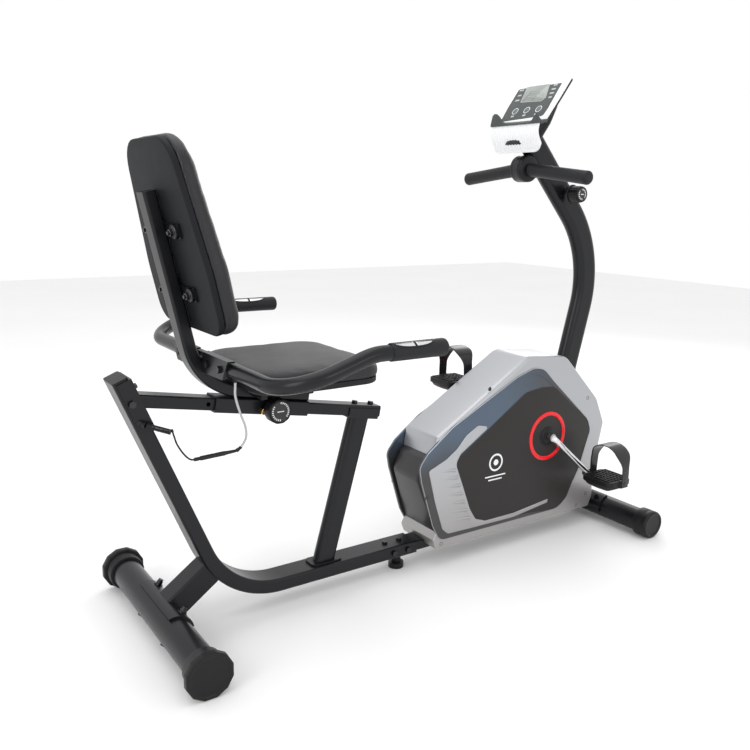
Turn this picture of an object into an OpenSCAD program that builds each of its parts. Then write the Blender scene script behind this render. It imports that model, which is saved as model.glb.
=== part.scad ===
// Recumbent magnetic exercise bike.
// Millimetres. X points forward, Y to the rider's left, Z up from the floor.
// Shapes are placed from the rear stabiliser's axis and then moved so that the
// origin is the middle of the bike's footprint.

/* [Overall] */
// Distance between the two stabiliser axes
wheelbase = 1236; // [1180:1:1300]
// Length of the rear stabiliser over its end caps
rear_foot_length = 500; // [440:1:560]
// Length of the front stabiliser over its end caps
front_foot_length = 454; // [400:1:520]
// Outside diameter of both stabiliser tubes
foot_tube_d = 62; // [56:1:66]

/* [Main tube] */
// Width of the main tube across the bike
tube_width = 60; // [50:1:66]
// Thickness of the main tube
tube_depth = 30; // [26:1:34]
// Lean of the upright back from vertical
upright_lean = 22.7; // [20:0.1:25]
// Radius of the bend between the floor run and the upright
frame_bend_r = 180; // [160:1:195]
// Height of the middle of the upright's open end
upright_height = 527; // [510:1:545]

/* [Seat rail] */
// Downward slope of the rail towards the front
rail_slope = 9.7; // [8.5:0.1:11]
// Travel of the seat each way from the middle hole
seat_travel = 81; // [54:27:81]

/* [Seat and backrest] */
// Length of the seat cushion
seat_length = 285; // [250:1:300]
// Width of the seat cushion
seat_width = 308; // [270:1:350]
// Height of the back cushion along its slope
back_height = 358; // [300:1:380]
// Width of the back cushion at its widest
back_width = 308; // [260:1:340]
// Distance between the middles of the two seat grips
seat_grip_span = 658; // [600:1:680]

/* [Drive] */
// Height of the crank axle
crank_height = 276; // [268:1:284]
// Length of each crank between axle and pedal
crank_length = 174; // [150:1:178]
// Outside diameter of the flywheel
flywheel_d = 230; // [200:1:234]
// Half the width of the shroud over its side panels
shroud_half_width = 69.5; // [66:0.5:76]

/* [Console] */
// Distance between the ends of the front handlebar
handlebar_span = 404; // [360:1:460]
// Width of the console
console_width = 160; // [140:1:170]
// Lean of the display forward from vertical
console_lean = 36; // [32:1:40]

/* [Hidden] */
$fn = 48;

gap = 0.3;             // clearance between pieces that move past each other
running_gap = 0.06;    // radial clearance of a shaft in its bearing
wall = 2.5;            // wall of the structural tubes
fuse = 0.05;           // overlap that joins two shapes of one moulding

frame_black = "#202225";
plastic_black = "#161718";
foam_black = "#1b1c1e";
leather_black = "#26282b";
shroud_silver = "#b9bdc1";
panel_dark = "#3a3b3d";
steel = "#9a9da1";
chrome_grey = "#d0d3d6";

// Stabilisers
cap_across_flats = 88;
rear_foot_z = cap_across_flats / 2;
foot_r = foot_tube_d / 2;
cap_reach = 42;
cap_flange = 17;
cap_sleeve_r = 37;
cap_end = 6;
front_cap_r = 37;
front_foot_z = 36;
front_foot_r = 30;

// Main tube: a floor run, a bend and a leaning upright
tube_z = 51;
bend_x = 254.4;
main_end = 610;
tube_top = tube_z + tube_depth / 2;
bend_z = tube_z + frame_bend_r;
upright_foot = [bend_x - frame_bend_r * cos(upright_lean), bend_z - frame_bend_r * sin(upright_lean)];
upright_length = (upright_height - upright_foot[1]) / cos(upright_lean);
upright_top_x = upright_foot[0] - upright_length * sin(upright_lean);
plug_head = 3;
bolt_hole_r = 4.3;
rear_most = upright_top_x - tube_depth / 2 * cos(upright_lean) - plug_head * sin(upright_lean);
front_most = wheelbase + front_cap_r;
mid_x = (rear_most + front_most) / 2;

// Rear neck, from the rear stabiliser up to the bend
neck_slope = 36;
neck_size = 50;
saddle_t = 5;
saddle_length = 170;
stud_y = 66;
stud_angle = 57;

// Seat rail
rail_w = 40;
rail_h = 25;
rail_zero_z = 480.5;
rail_end = 507;
hole_pitch = 27;
pin_s = 239;
pin_r = 4;
sleeve_rear = 117;
sleeve_front = 323;
sleeve_w = 50;
sleeve_h = 31;

// Seat post
post_foot_x = 371;
post_lean = 15.1;
post_seat_s = 456;

// Back post: a straight upper run, a bend and a leg on the sleeve
back_lean = 13;
back_post_w = 40;
back_post_t = 25;
back_bend_r = 122;
back_bend_c = [189.3, 601];
back_top_z = 855;

// Seat handlebar
bar_r = 14;
bar_x = 110.4;
bar_z = 547.3;
bar_rise = 17.5;
bar_wall = 2;
bar_bend_r = 85;
bar_level_z = 598;
bar_end_x = 425;
level_bend_r = 120;
wing_reach = 135;

// Cushions
seat_rear_x = 145;
seat_bottom_z = 496;
pan_t = 10;
seat_t = 35;
back_offset = 16.5;
strip_z = [-69, -183];
strip_reach = 78;
strip_h = 26;
board_t = 10;
back_t = 44;
back_low = -262;
back_taper = 1.5;

// Drive
crank_x = 987;
crank_angle = -40.5;
axle_r = 10;
bearing_r = 17;
shell_r = 22;
shell_low = -34;
shell_high = 14;
pulley_r = 122;
pulley_y = 20;
pulley_w = 12;
wheel_x = 752;
wheel_z = 205;
wheel_low = -14;
wheel_w = 18;
wheel_pulley_r = 18;
wheel_axle_r = 6;
belt_t = 3;
crank_y = 82;
pedal_y = 156;
pedal_x_size = 92;
pedal_y_size = 96;
pedal_t = 26;
spindle_r = 5;

// Console post: lower straight, bend, upper straight
post_low_lean = 13.8;
post_high_lean = 43.2;
post_bend_r = 262;
post_bend_start = [1149, 589];
post_low = 190;
post_high = 228;
post_flat = 32;
post_r = 17;
post_wall = 2;
post_bend_c = post_bend_start + post_bend_r * [-cos(post_low_lean), sin(post_low_lean)];
post_bend_end = post_bend_c + post_bend_r * [cos(post_high_lean), sin(post_high_lean)];

// Front handlebar
hub_x = 917;
hub_z = 929;
hub_r = 31;
clamp_half = 20;
handlebar_droop = 6.5;
front_bar_r = 12.5;
bar_root = 3;
grip_r = 15;
knob_h = 58;
knob_shaft_r = 5;
knob_reach = 54;

// Console: the display's lower edge
display_at = [900, 0, 1040];
display_h = 122;

// Free lead between the upright and the right seat grip, ends and hand-chosen route
coil_r = 5.5;
coil_from = [-27, -44, 446];
coil_to = [15, -55, 430];
lead_r = 2.2;
lead_lower_route = [[15, -55, 430], [20, -57, 420], [24, -59, 406], [34, -62, 388], [44, -64, 377], [53, -65, 374]];
lead_upper_route = [[134, -75, 381], [143, -79, 390], [147, -90, 410], [141, -100, 434],
    [127, -110, 463], [113, -121, 498], [109.6, -128, 520], [109.6, -130, 532.2]];

// ---------- helpers ----------

// Moves a shape from the rear stabiliser's axis to the bike's own origin.
module from_rear(at = [0, 0, 0]) translate([at[0] - mid_x, at[1], at[2]]) children();

// Mirror image pair across the bike's middle plane.
module both_sides() {
    children();
    mirror([0, 1, 0]) children();
}

module rounded_rect(a, b, r) {
    square([a - 2 * r, b], center = true);
    square([a, b - 2 * r], center = true);
    for (x = [-1, 1], y = [-1, 1]) translate([x * (a / 2 - r), y * (b / 2 - r)]) circle(r);
}

module box_section(a, b, t = wall, r = 5) difference() {
    rounded_rect(a, b, r);
    rounded_rect(a - 2 * t, b - 2 * t, r - t);
}

module flat_oval(flat, r) {
    square([flat, 2 * r], center = true);
    for (x = [-1, 1]) translate([x * flat / 2, 0]) circle(r);
}

// Cylinder along Y from y0 to y1.
module y_rod(r, y0, y1) translate([0, y0, 0]) rotate([-90, 0, 0]) cylinder(r = r, h = y1 - y0);

module y_tube(r_out, r_in, y0, y1) difference() {
    y_rod(r_out, y0, y1);
    y_rod(r_in, y0 - 1, y1 + 1);
}

// Hexagon-headed screw: its head stands on z = 0 and its shank points down.
module hex_screw(r, length, head = 5) {
    cylinder(r = 1.75 * r, h = head, $fn = 6);
    translate([0, 0, -length]) cylinder(r = r, h = length + 0.1);
}

// Points of a closed outline whose corners [x, z, r] are rounded with arcs.
function unit(v) = v / norm(v);
function flat2(p) = [p[0], p[1]];
function corner_arc(a, b, c, steps = 6) =
    let (u = unit(flat2(a) - flat2(b)), v = unit(flat2(c) - flat2(b)),
        half = acos(max(-1, min(1, u * v))) / 2,
        centre = flat2(b) + unit(u + v) * b[2] / sin(half),
        from = flat2(b) + u * b[2] / tan(half) - centre,
        turn = (u[0] * v[1] - u[1] * v[0] > 0 ? -1 : 1) * (180 - 2 * half))
    [for (i = [0:steps]) let (w = turn * i / steps)
        centre + [from[0] * cos(w) - from[1] * sin(w), from[0] * sin(w) + from[1] * cos(w)]];
function rounded_outline(pts) = let (n = len(pts))
    [for (i = [0:n - 1]) each corner_arc(pts[(i + n - 1) % n], pts[i], pts[(i + 1) % n])];

// Slab of an XZ outline between two Y values.
module side_slab(y0, y1) translate([0, y1, 0]) rotate([90, 0, 0]) linear_extrude(y1 - y0) children();

// Turns the XZ plane's angle a, for a bend whose centre is at [x, z].
module bend_at(c, start) translate([c[0], 0, c[1]]) rotate([90, 0, 0]) rotate([0, 0, start]) children();

// ---------- frames of reference ----------

module on_upright() translate([upright_foot[0], 0, upright_foot[1]]) rotate([0, -upright_lean, 0]) children();
module on_rail(s = 0) translate([0, 0, rail_zero_z]) rotate([0, rail_slope, 0]) translate([s, 0, 0]) children();
module on_back_post() translate([back_top_x, 0, back_top_z]) rotate([0, -back_lean, 0]) children();
module on_display() translate(display_at) rotate([0, console_lean, 0]) children();
module at_crank(y = 0) translate([crank_x, y, crank_height]) children();
module at_flywheel(y = 0) translate([wheel_x, y, wheel_z]) children();

back_run_low = back_bend_c + back_bend_r * [-cos(back_lean), -sin(back_lean)];
back_run = (back_top_z - back_run_low[1]) / cos(back_lean);
back_top_x = back_run_low[0] - back_run * sin(back_lean);

// ---------- main frame ----------

module main_path() {
    translate([bend_x, 0, tube_z]) rotate([0, 90, 0]) linear_extrude(main_end - bend_x) children();
    bend_at([bend_x, bend_z], 180 + upright_lean)
        rotate_extrude(angle = 90 - upright_lean) translate([frame_bend_r, 0]) children();
    on_upright() linear_extrude(upright_length) children();
}

// Bolts that join the two frame halves: two from above, two from the right side.
joint_x = [538, 578];
side_joint_shift = 6;
module joint_holes() for (x = joint_x) {
    translate([x, 0, tube_top - 8]) cylinder(r = bolt_hole_r, h = 20);
    translate([x + side_joint_shift, 0, tube_z]) y_rod(bolt_hole_r, -tube_width / 2 - 10, -tube_width / 2 + 8);
}

module main_tube() from_rear() color(frame_black) difference() {
    main_path() box_section(tube_depth, tube_width);
    joint_holes();
    foot_hole();
    on_upright() translate([0, -tube_width / 2 - 1, upright_length - 45]) y_rod(bolt_hole_r, 0, tube_width + 2);
    on_upright() for (y = [-18, 18]) translate([tube_depth / 2 - 6, y, upright_length - 22])
        rotate([0, 90, 0]) cylinder(r = 3.3, h = 8);
}

module upright_cap() from_rear() color(plastic_black) on_upright() translate([0, 0, upright_length]) {
    linear_extrude(plug_head) rounded_rect(tube_depth, tube_width, 5);
    translate([0, 0, -12]) linear_extrude(12) rounded_rect(tube_depth - 5.4, tube_width - 5.4, 2);
}

module foot_axis() translate([0, 0, rear_foot_z]) children();

module stud_places() for (y = [-stud_y, stud_y])
    foot_axis() translate([0, y, 0]) rotate([0, 90 - stud_angle, 0]) children();

module rear_neck() from_rear() color(frame_black) {
    difference() {
        foot_axis() rotate([0, 90 - neck_slope, 0]) linear_extrude(150) box_section(neck_size, neck_size);
        foot_axis() y_rod(foot_r + saddle_t / 2, -40, 40);
        translate([bend_x, 0, bend_z]) y_rod(frame_bend_r + tube_depth / 2, -40, 40);
    }
    difference() {
        foot_axis() rotate([90, 0, 0]) rotate([0, 0, 8]) rotate_extrude(angle = 104)
            translate([foot_r, -saddle_length / 2]) square([saddle_t, saddle_length]);
        stud_places() cylinder(r = bolt_hole_r, h = 60);
    }
}

module rear_stabiliser() from_rear() color(frame_black) difference() {
    foot_axis() y_tube(foot_r, foot_r - wall, -rear_foot_length / 2 + cap_end, rear_foot_length / 2 - cap_end);
    stud_places() translate([0, 0, -50]) cylinder(r = bolt_hole_r, h = 100);
}

// Levelling cap: a twelve-sided flange with a round sleeve over the stabiliser's end.
module rear_cap() foot_axis() translate([0, rear_foot_length / 2, 0]) difference() {
    union() {
        rotate([90, 0, 0]) rotate([0, 0, 15]) cylinder(r = rear_foot_z / cos(15), h = cap_flange, $fn = 12);
        y_rod(cap_sleeve_r, -cap_reach, -cap_flange + fuse);
    }
    y_rod(foot_r + running_gap, -cap_reach - 1, -cap_end + gap);
}
module left_rear_cap() from_rear() color(plastic_black) rear_cap();
module right_rear_cap() from_rear() color(plastic_black) mirror([0, 1, 0]) rear_cap();

// Bolts through rail and cradle, measured from the cradle's middle.
rail_bolt_s = [-14, 28];

module seat_post_axis() translate([post_foot_x, 0, tube_top]) rotate([0, post_lean, 0]) children();

module seat_post() from_rear() color(frame_black) {
    difference() {
        seat_post_axis() translate([0, 0, -20]) linear_extrude(370) difference() {
            flat_oval(20, 15);
            flat_oval(20, 15 - wall);
        }
        translate([200, -100, tube_top - 60]) cube([400, 200, 64]);
        on_rail(post_seat_s) translate([-200, -100, -rail_h / 2 - 4]) cube([400, 200, 100]);
    }
    translate([post_foot_x + 1, 0, tube_top]) linear_extrude(4) difference() {
        rounded_rect(76, 42, 10);
        flat_oval(20, 10);
    }
    on_rail(post_seat_s + 10) difference() {
        translate([-38, -rail_w / 2 - 3.2, -rail_h / 2 - 4]) cube([76, rail_w + 6.4, 22]);
        translate([-40, -rail_w / 2, -rail_h / 2]) cube([80, rail_w, 40]);
        for (s = rail_bolt_s) translate([s, 0, -30]) cylinder(r = bolt_hole_r, h = 40);
    }
}

module seat_rail() from_rear() color(frame_black) difference() {
    on_rail() translate([-60, 0, 0]) rotate([0, 90, 0]) linear_extrude(rail_end + 60)
        box_section(rail_h, rail_w, 2.5, 4);
    on_upright() translate([-100, -50, 150]) cube([100 + tube_depth / 2 + 4, 100, 300]);
    for (i = [-5:3]) on_rail(pin_s + i * hole_pitch) y_rod(pin_r + gap, -rail_w / 2 - 1, -rail_w / 2 + 5);
    for (s = rail_bolt_s) on_rail(post_seat_s + 10 + s) translate([0, 0, -30]) cylinder(r = bolt_hole_r, h = 60);
}

// U bracket that hugs the upright and carries the rail's rear end.
module rail_bracket() from_rear() color(frame_black) on_upright() difference() {
    union() {
        translate([tube_depth / 2, -tube_width / 2 - 3, upright_length - 100]) cube([4, tube_width + 6, 98]);
        both_sides() translate([-10, tube_width / 2, upright_length - 100])
            cube([tube_depth / 2 + 14, 3, 98]);
    }
    translate([0, -50, upright_length - 45]) y_rod(bolt_hole_r, 0, 100);
    for (y = [-18, 18]) translate([0, y, upright_length - 22]) rotate([0, 90, 0]) cylinder(r = 3.3, h = 30);
}

module rail_end_cap() from_rear() color(plastic_black) on_rail(rail_end) {
    rotate([0, 90, 0]) linear_extrude(3) rounded_rect(rail_h, rail_w, 4);
    translate([-7, 0, 0]) rotate([0, 90, 0]) linear_extrude(7) rounded_rect(rail_h - 5.4, rail_w - 5.4, 1.5);
}

module cap_nut() {
    cylinder(r = 9, h = 2);
    translate([0, 0, 2]) cylinder(r = 7, h = 6, $fn = 6);
    translate([0, 0, 8]) cylinder(r = 5, h = 4);
}

module neck_stud(tube_r, plate) {
    translate([0, 0, tube_r + plate]) cap_nut();
    translate([0, 0, -tube_r]) cylinder(r = 4, h = 2 * tube_r + plate + 0.1);
    translate([0, 0, -tube_r - 3]) cylinder(r = 8, h = 3.1);
}

// Every screw, stud and cap nut of the frame.
module frame_bolts() from_rear() color(steel) {
    stud_places() neck_stud(foot_r, saddle_t);
    front_stud_places() neck_stud(front_foot_r, saddle_t);
    for (x = joint_x) {
        translate([x, 0, tube_top]) hex_screw(4, 8);
        translate([x + side_joint_shift, -tube_width / 2, tube_z]) rotate([90, 0, 0]) hex_screw(4, 8);
    }
    for (s = rail_bolt_s) on_rail(post_seat_s + 10 + s) translate([0, 0, rail_h / 2]) hex_screw(4, rail_h + 4, 6);
    on_upright() translate([0, 0, upright_length - 45]) {
        translate([0, -tube_width / 2 - 3, 0]) rotate([90, 0, 0]) hex_screw(4, tube_width + 9, 6);
        translate([0, tube_width / 2 + 3, 0]) rotate([-90, 0, 0]) cylinder(r = 8, h = 2.9);
    }
    on_upright() for (y = [-18, 18]) translate([tube_depth / 2 + 4, y, upright_length - 22])
        rotate([0, 90, 0]) hex_screw(3, 8, 6);
    for (z = post_screw_z) on_console_post(z) translate([post_flat / 2 + post_r, 0, 0])
        rotate([0, 90, 0]) hex_screw(3, 5, 4);
}

// Screw foot under the joint of the two frame halves.
foot_x = 572;
foot_rod_r = 5;
module foot_hole() translate([foot_x, 0, 30]) cylinder(r = foot_rod_r + running_gap, h = 22);
module centre_foot() from_rear([foot_x, 0, 0]) color(plastic_black) {
    cylinder(r = 18, h = 13);
    translate([0, 0, 12.9]) cylinder(r = 12, h = 17, $fn = 6);
    cylinder(r = foot_rod_r, h = tube_z - 1);
}

// ---------- front frame ----------

front_run_h = 25;
front_run_w = 50;
front_neck_x = wheelbase - 30;
mast_r = post_r - post_wall - gap;

// Screws that pin the console post to the mast inside it.
post_screw_z = [460, 500];
module post_screw_holes() for (z = post_screw_z)
    on_console_post(z) translate([10, 0, 0]) rotate([0, 90, 0]) cylinder(r = 3.3, h = 30);

module on_console_post(z) translate([post_bend_start[0], 0, post_bend_start[1]])
    rotate([0, post_low_lean, 0]) translate([0, 0, (z - post_bend_start[1]) / cos(post_low_lean)]) children();

module front_axis() translate([wheelbase, 0, front_foot_z]) children();
module front_stud_places() for (y = [-52, 52]) front_axis() translate([0, y, 0])
    rotate([0, -40, 0]) children();

module fork_plate(y) translate([wheel_x, y, 0]) rotate([90, 0, 0]) linear_extrude(4) difference() {
    polygon([[-30, tube_z + 14], [30, tube_z + 14], [16, wheel_z + 14], [-16, wheel_z + 14]]);
    translate([0, wheel_z]) circle(wheel_axle_r + 0.05);
}

shell_gusset = [[crank_x - 18, crank_height - 14], [1022, 66], [1065, 250], [1076, 300],
    [crank_x + 5, crank_height + 20]];

module front_frame() from_rear() color(frame_black) {
    difference() {
        translate([490, 0, tube_z]) rotate([0, 90, 0]) linear_extrude(front_neck_x + 30 - 490)
            box_section(front_run_h - 0.4, front_run_w, 2.5, 3.5);
        front_axis() y_rod(front_foot_r + saddle_t / 2, -60, 60);
        joint_holes();
        foot_hole();
    }
    difference() {
        front_axis() rotate([90, 0, 0]) rotate([0, 0, 95]) rotate_extrude(angle = 100)
            translate([front_foot_r, -75]) square([saddle_t, 150]);
        front_stud_places() cylinder(r = bolt_hole_r, h = 60);
    }
    difference() {
        on_console_post(tube_z) linear_extrude(410) difference() {
            flat_oval(post_flat, mast_r);
            flat_oval(post_flat, mast_r - wall);
        }
        post_screw_holes();
        translate([900, -40, 0]) cube([300, 80, tube_z + front_run_h / 2 - 0.2]);
        at_crank() y_rod(shell_r - 1, shell_low - 1, shell_high + 1);
    }
    difference() {
        union() {
            at_crank() y_rod(shell_r, shell_low, shell_high);
            side_slab(-12, -6) polygon(shell_gusset);
            side_slab(4, 10) polygon(shell_gusset);
            side_slab(5, 9) polygon([[crank_x, crank_height - 18], [crank_x, crank_height + 18],
                magnet_pivot + [-2, 11], magnet_pivot + [-9, -7]]);
        }
        at_crank() y_rod(bearing_r, shell_low - 1, shell_high + 1);
    }
    translate([magnet_pivot[0], 0, magnet_pivot[1]]) {
        y_rod(magnet_pin_r, wheel_low - 2, 5 + fuse);
        y_rod(2 * magnet_pin_r, wheel_low - 5, wheel_low - 1);
    }
    fork_plate(-22);
    fork_plate(40);
    translate([wheel_x - 30, -26, tube_z + front_run_h / 2 - 0.4]) cube([60, 66, 4]);
}

module front_stabiliser() from_rear() color(frame_black) difference() {
    front_axis() y_tube(front_foot_r, front_foot_r - wall, -front_foot_length / 2 + cap_end,
        front_foot_length / 2 - cap_end);
    front_stud_places() translate([0, 0, -50]) cylinder(r = bolt_hole_r, h = 100);
}

// Front end caps, flat where they stand on the floor.
module front_caps() from_rear() color(plastic_black) both_sides() difference() {
    front_axis() y_rod(front_cap_r, front_foot_length / 2 - cap_reach, front_foot_length / 2);
    front_axis() y_rod(front_foot_r, 0, front_foot_length / 2 - cap_end);
    translate([wheelbase - 60, 0, -10]) cube([120, front_foot_length, 10]);
}

// Crank bearings, one at each end of the shell.
module bearings() from_rear() color(steel)
    for (y = [shell_low, shell_high - 9]) at_crank() y_tube(bearing_r, axle_r + running_gap, y, y + 9);

// ---------- shroud ----------

shell_t = 3;
shroud_outline = [[645, 49, 6], [632, 73, 6], [641, 92, 6], [590, 228, 22], [628, 277, 12], [634, 322, 12],
    [910, 488, 55], [1046, 475, 45], [1172, 350, 70], [1206, 281, 24], [1180, 152, 10], [1181, 78, 14], [1169, 49, 6]];
shroud_side = shroud_half_width - 5.5;

module shroud_half() difference() {
    side_slab(0, shroud_side) polygon(rounded_outline(shroud_outline));
    side_slab(-1, shroud_side - shell_t) offset(delta = -shell_t) polygon(rounded_outline(shroud_outline));
    at_crank() y_rod(24, 0, 100);
    translate([580, -tube_width / 2 - 1, 0]) cube([660, tube_width + 2, tube_top + 1]);
    on_console_post(300) linear_extrude(400) flat_oval(post_flat, post_r + 1);
}

module shroud_left() from_rear() color(shroud_silver) shroud_half();
module shroud_right() from_rear() color(shroud_silver) mirror([0, 1, 0]) shroud_half();

// Dark side panels with their moulded recess edge.
panel_outline = [[672, 84, 22], [640, 250, 30], [700, 320, 24], [905, 446, 50], [1030, 420, 60], [1152, 290, 40],
    [1120, 130, 30], [1085, 84, 20]];
module side_panels() from_rear() color(panel_dark) both_sides() difference() {
    side_slab(shroud_side, shroud_half_width) polygon(rounded_outline(panel_outline));
    side_slab(shroud_side - 1, shroud_half_width - shell_t)
        offset(delta = -shell_t) polygon(rounded_outline(panel_outline));
    at_crank() y_rod(24, 0, 100);
}

module hub_rings() from_rear() color("#d01818") both_sides()
    at_crank() y_tube(63, 53, shroud_half_width, shroud_half_width + 0.8);

module shroud_screws() from_rear() color(steel) both_sides()
    for (p = [[795, 408], [1140, 356], [619, 180], [664, 62], [1160, 84], [1132, 62]])
        translate([p[0], shroud_side, p[1]]) y_rod(4, 0, 1.5);

// ---------- console post and front handlebar ----------

module on_high_post(h) translate([post_bend_end[0], 0, post_bend_end[1]]) rotate([0, -post_high_lean, 0])
    translate([0, 0, h]) children();

module post_path(low, high) {
    on_console_post(post_bend_start[1]) translate([0, 0, -low]) linear_extrude(low) children();
    bend_at(post_bend_c, -post_low_lean)
        rotate_extrude(angle = post_low_lean + post_high_lean) translate([post_bend_r, 0]) children();
    on_high_post(0) linear_extrude(high) children();
}

module console_post() from_rear() color(frame_black) difference() {
    union() {
        post_path(post_low, post_high) difference() {
            flat_oval(post_flat, post_r);
            flat_oval(post_flat, post_r - post_wall);
        }
        hub_neck();
    }
    on_high_post(knob_h) y_rod(knob_shaft_r, -60, 0);
    post_screw_holes();
}

// Short neck that joins the handlebar clamp to the post.
module hub_neck() difference() {
    translate([hub_x, 0, hub_z]) rotate([0, 90, 0]) cylinder(r = 20, h = 80);
    translate([hub_x, 0, hub_z]) y_rod(hub_r, -60, 60);
    post_path(post_low, post_high) flat_oval(post_flat, post_r);
}

bar_half = handlebar_span / 2;
bar_slant = (bar_half - 6) / cos(handlebar_droop);

// Two bars that droop outwards from the clamp.
module on_side_bar() translate([hub_x, 0, hub_z]) rotate([-handlebar_droop, 0, 0]) children();
module handlebar() from_rear() color(frame_black) both_sides()
    on_side_bar() y_tube(front_bar_r, front_bar_r - 2, bar_root, bar_slant);

module handlebar_grips() from_rear() color(foam_black) both_sides()
    on_side_bar() difference() {
        y_rod(grip_r, clamp_half + 4, bar_slant + 5);
        y_rod(front_bar_r, 0, bar_slant);
    }

module handlebar_clamp() from_rear() color(plastic_black) difference() {
    translate([hub_x, 0, hub_z]) y_rod(hub_r, -clamp_half, clamp_half);
    post_path(post_low, post_high) flat_oval(post_flat, post_r);
    both_sides() on_side_bar() y_rod(front_bar_r, bar_root, 60);
}

// Knob that sets the resistance, on the right face of the post.
module tension_knob() from_rear() color(plastic_black)
    on_high_post(knob_h) translate([0, -post_r - gap, 0]) {
        y_rod(13, -knob_reach + 20, 0);
        difference() {
            y_rod(23, -knob_reach, -knob_reach + 24);
            for (a = [0:30:330]) rotate([0, a, 0]) translate([25, 0, 0]) y_rod(4, -knob_reach - 1, -knob_reach + 26);
        }
        y_rod(knob_shaft_r - running_gap, -1, post_wall + 6);
    }

// ---------- console ----------

rim = 4;
button_y = [-38, 0, 38];
button_r = 8;
button_z = 26;

module console_back() from_rear() color(plastic_black) difference() {
    on_display() difference() {
        translate([0, console_width / 2, 0]) rotate([90, 0, 0]) linear_extrude(console_width)
            polygon([[rim, -44], [rim, display_h - 2], [9, display_h - 2], [26, -40], [24, -60], [16, -58]]);
        translate([rim - 1, -console_width / 2 + 3, 4]) cube([9, console_width - 6, display_h - 22]);
    }
    console_tray();
}

// Ledge under the display and the ribbed panel that hangs from it.
module console_tray() translate([display_at[0], console_width / 2 - 7, display_at[2]])
    rotate([90, 0, 0]) linear_extrude(console_width - 14) polygon(rounded_outline([[-19, -11, 3],
        [-32, -38, 14], [-19, -76, 6], [-6, -76, 4], [-10, -20, 4], [0, 0, 1], [3, 4, 1], [-9, -16, 2]]));

module console_front() from_rear() color("#e9eaea") difference() {
    union() {
        on_display() translate([0, -console_width / 2, 0]) cube([rim, console_width, display_h]);
        console_tray();
    }
    on_display() {
        translate([-1, -66, 46]) cube([2.6, 132, 66]);
        for (y = button_y) translate([-1, y, button_z]) rotate([0, 90, 0]) cylinder(r = button_r + gap, h = 9);
    }
}

module console_lens() from_rear() color("#5d6660") on_display()
    translate([0, -65.7, 46.3]) cube([1.5, 131.4, 65.4]);

module circuit_board() from_rear() color("#1f5b34") on_display()
    translate([7, -70, 10]) cube([1.6, 140, 84]);

module console_button(i) from_rear() color("#c9ccce") on_display()
    translate([-1.6, button_y[i], button_z]) rotate([0, 90, 0]) cylinder(r = button_r, h = 5.4);
module mode_button() console_button(0);
module set_button() console_button(1);
module reset_button() console_button(2);

// ---------- drive ----------

module flywheel() from_rear() color(steel) at_flywheel() {
    difference() {
        union() {
            y_tube(flywheel_d / 2, flywheel_d / 2 - 22, wheel_low, wheel_low + wheel_w);
            y_rod(flywheel_d / 2 - 21.9, wheel_low + 6, wheel_low + 12);
            y_rod(wheel_pulley_r, wheel_low + 6, pulley_y + pulley_w);
        }
        y_rod(wheel_axle_r + running_gap, -100, 100);
    }
}

module flywheel_axle() from_rear() color(steel) at_flywheel() {
    y_rod(wheel_axle_r, -34, 48);
    for (y = [-34, 40]) y_tube(11, wheel_axle_r, y, y + 8);
}

// Curved bracket that swings a row of magnets towards the flywheel's rim.
magnet_pivot = [wheel_x + 40, wheel_z + 140];
magnet_pin_r = 4;
magnet_pivot_at = [magnet_pivot[0] - wheel_x, magnet_pivot[1] - wheel_z];
magnet_arc_r = flywheel_d / 2 + 5;
module magnet_bracket() from_rear() color(steel) at_flywheel()
    side_slab(wheel_low, wheel_low + wheel_w) difference() {
        union() {
            intersection() {
                difference() {
                    circle(magnet_arc_r + 4);
                    circle(magnet_arc_r);
                }
                polygon([[0, 0], for (a = [85, 128, 170]) 2 * magnet_arc_r * [cos(a), sin(a)]]);
            }
            for (a = [96:18:150]) rotate(a) translate([flywheel_d / 2 + 2, -8]) square([5, 16]);
            polygon([[4, 118.5], [4, 126], magnet_pivot_at + [-5, 6], magnet_pivot_at + [1, -8]]);
            translate(magnet_pivot_at) circle(9);
        }
        translate(magnet_pivot_at) circle(magnet_pin_r + running_gap);
    }

belt_y = pulley_y + 1;
belt_w = pulley_w - 2;
belt_run = norm([crank_x - wheel_x, crank_height - wheel_z]);
belt_tilt = atan2(crank_height - wheel_z, crank_x - wheel_x);
belt_wrap = asin((pulley_r - wheel_pulley_r) / belt_run);

// Belt outline around both pulleys: two arcs joined by straight runs.
function belt_outline(grow) = [
    for (a = [90 + belt_wrap:10:270 - belt_wrap]) (wheel_pulley_r + grow) * [cos(a), sin(a)],
    (wheel_pulley_r + grow) * [cos(270 - belt_wrap), sin(270 - belt_wrap)],
    for (a = [-90 - belt_wrap:6:90 + belt_wrap]) [belt_run, 0] + (pulley_r + grow) * [cos(a), sin(a)],
    [belt_run, 0] + (pulley_r + grow) * [cos(90 + belt_wrap), sin(90 + belt_wrap)]];
module drive_belt() from_rear() color(plastic_black) at_flywheel() rotate([0, -belt_tilt, 0])
    side_slab(belt_y, belt_y + belt_w) difference() {
        polygon(belt_outline(belt_t + 1));
        polygon(belt_outline(1));
    }

module drive_pulley() from_rear() color(plastic_black) at_crank() {
    difference() {
        y_rod(pulley_r, pulley_y, pulley_y + pulley_w);
        y_tube(pulley_r - 14, 34, pulley_y - 1, pulley_y + 4);
        y_tube(pulley_r - 14, 34, pulley_y + 8, pulley_y + pulley_w + 1);
        for (a = [0:60:300]) rotate([0, a, 0]) translate([72, 0, 0]) y_rod(20, 0, 100);
        y_rod(axle_r, 0, 100);
    }
}

module crank_axle() from_rear() color(steel) at_crank() {
    y_rod(axle_r, -crank_y - 6, crank_y + 6);
    y_tube(16, axle_r, shell_high + 1, pulley_y);
}

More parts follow.
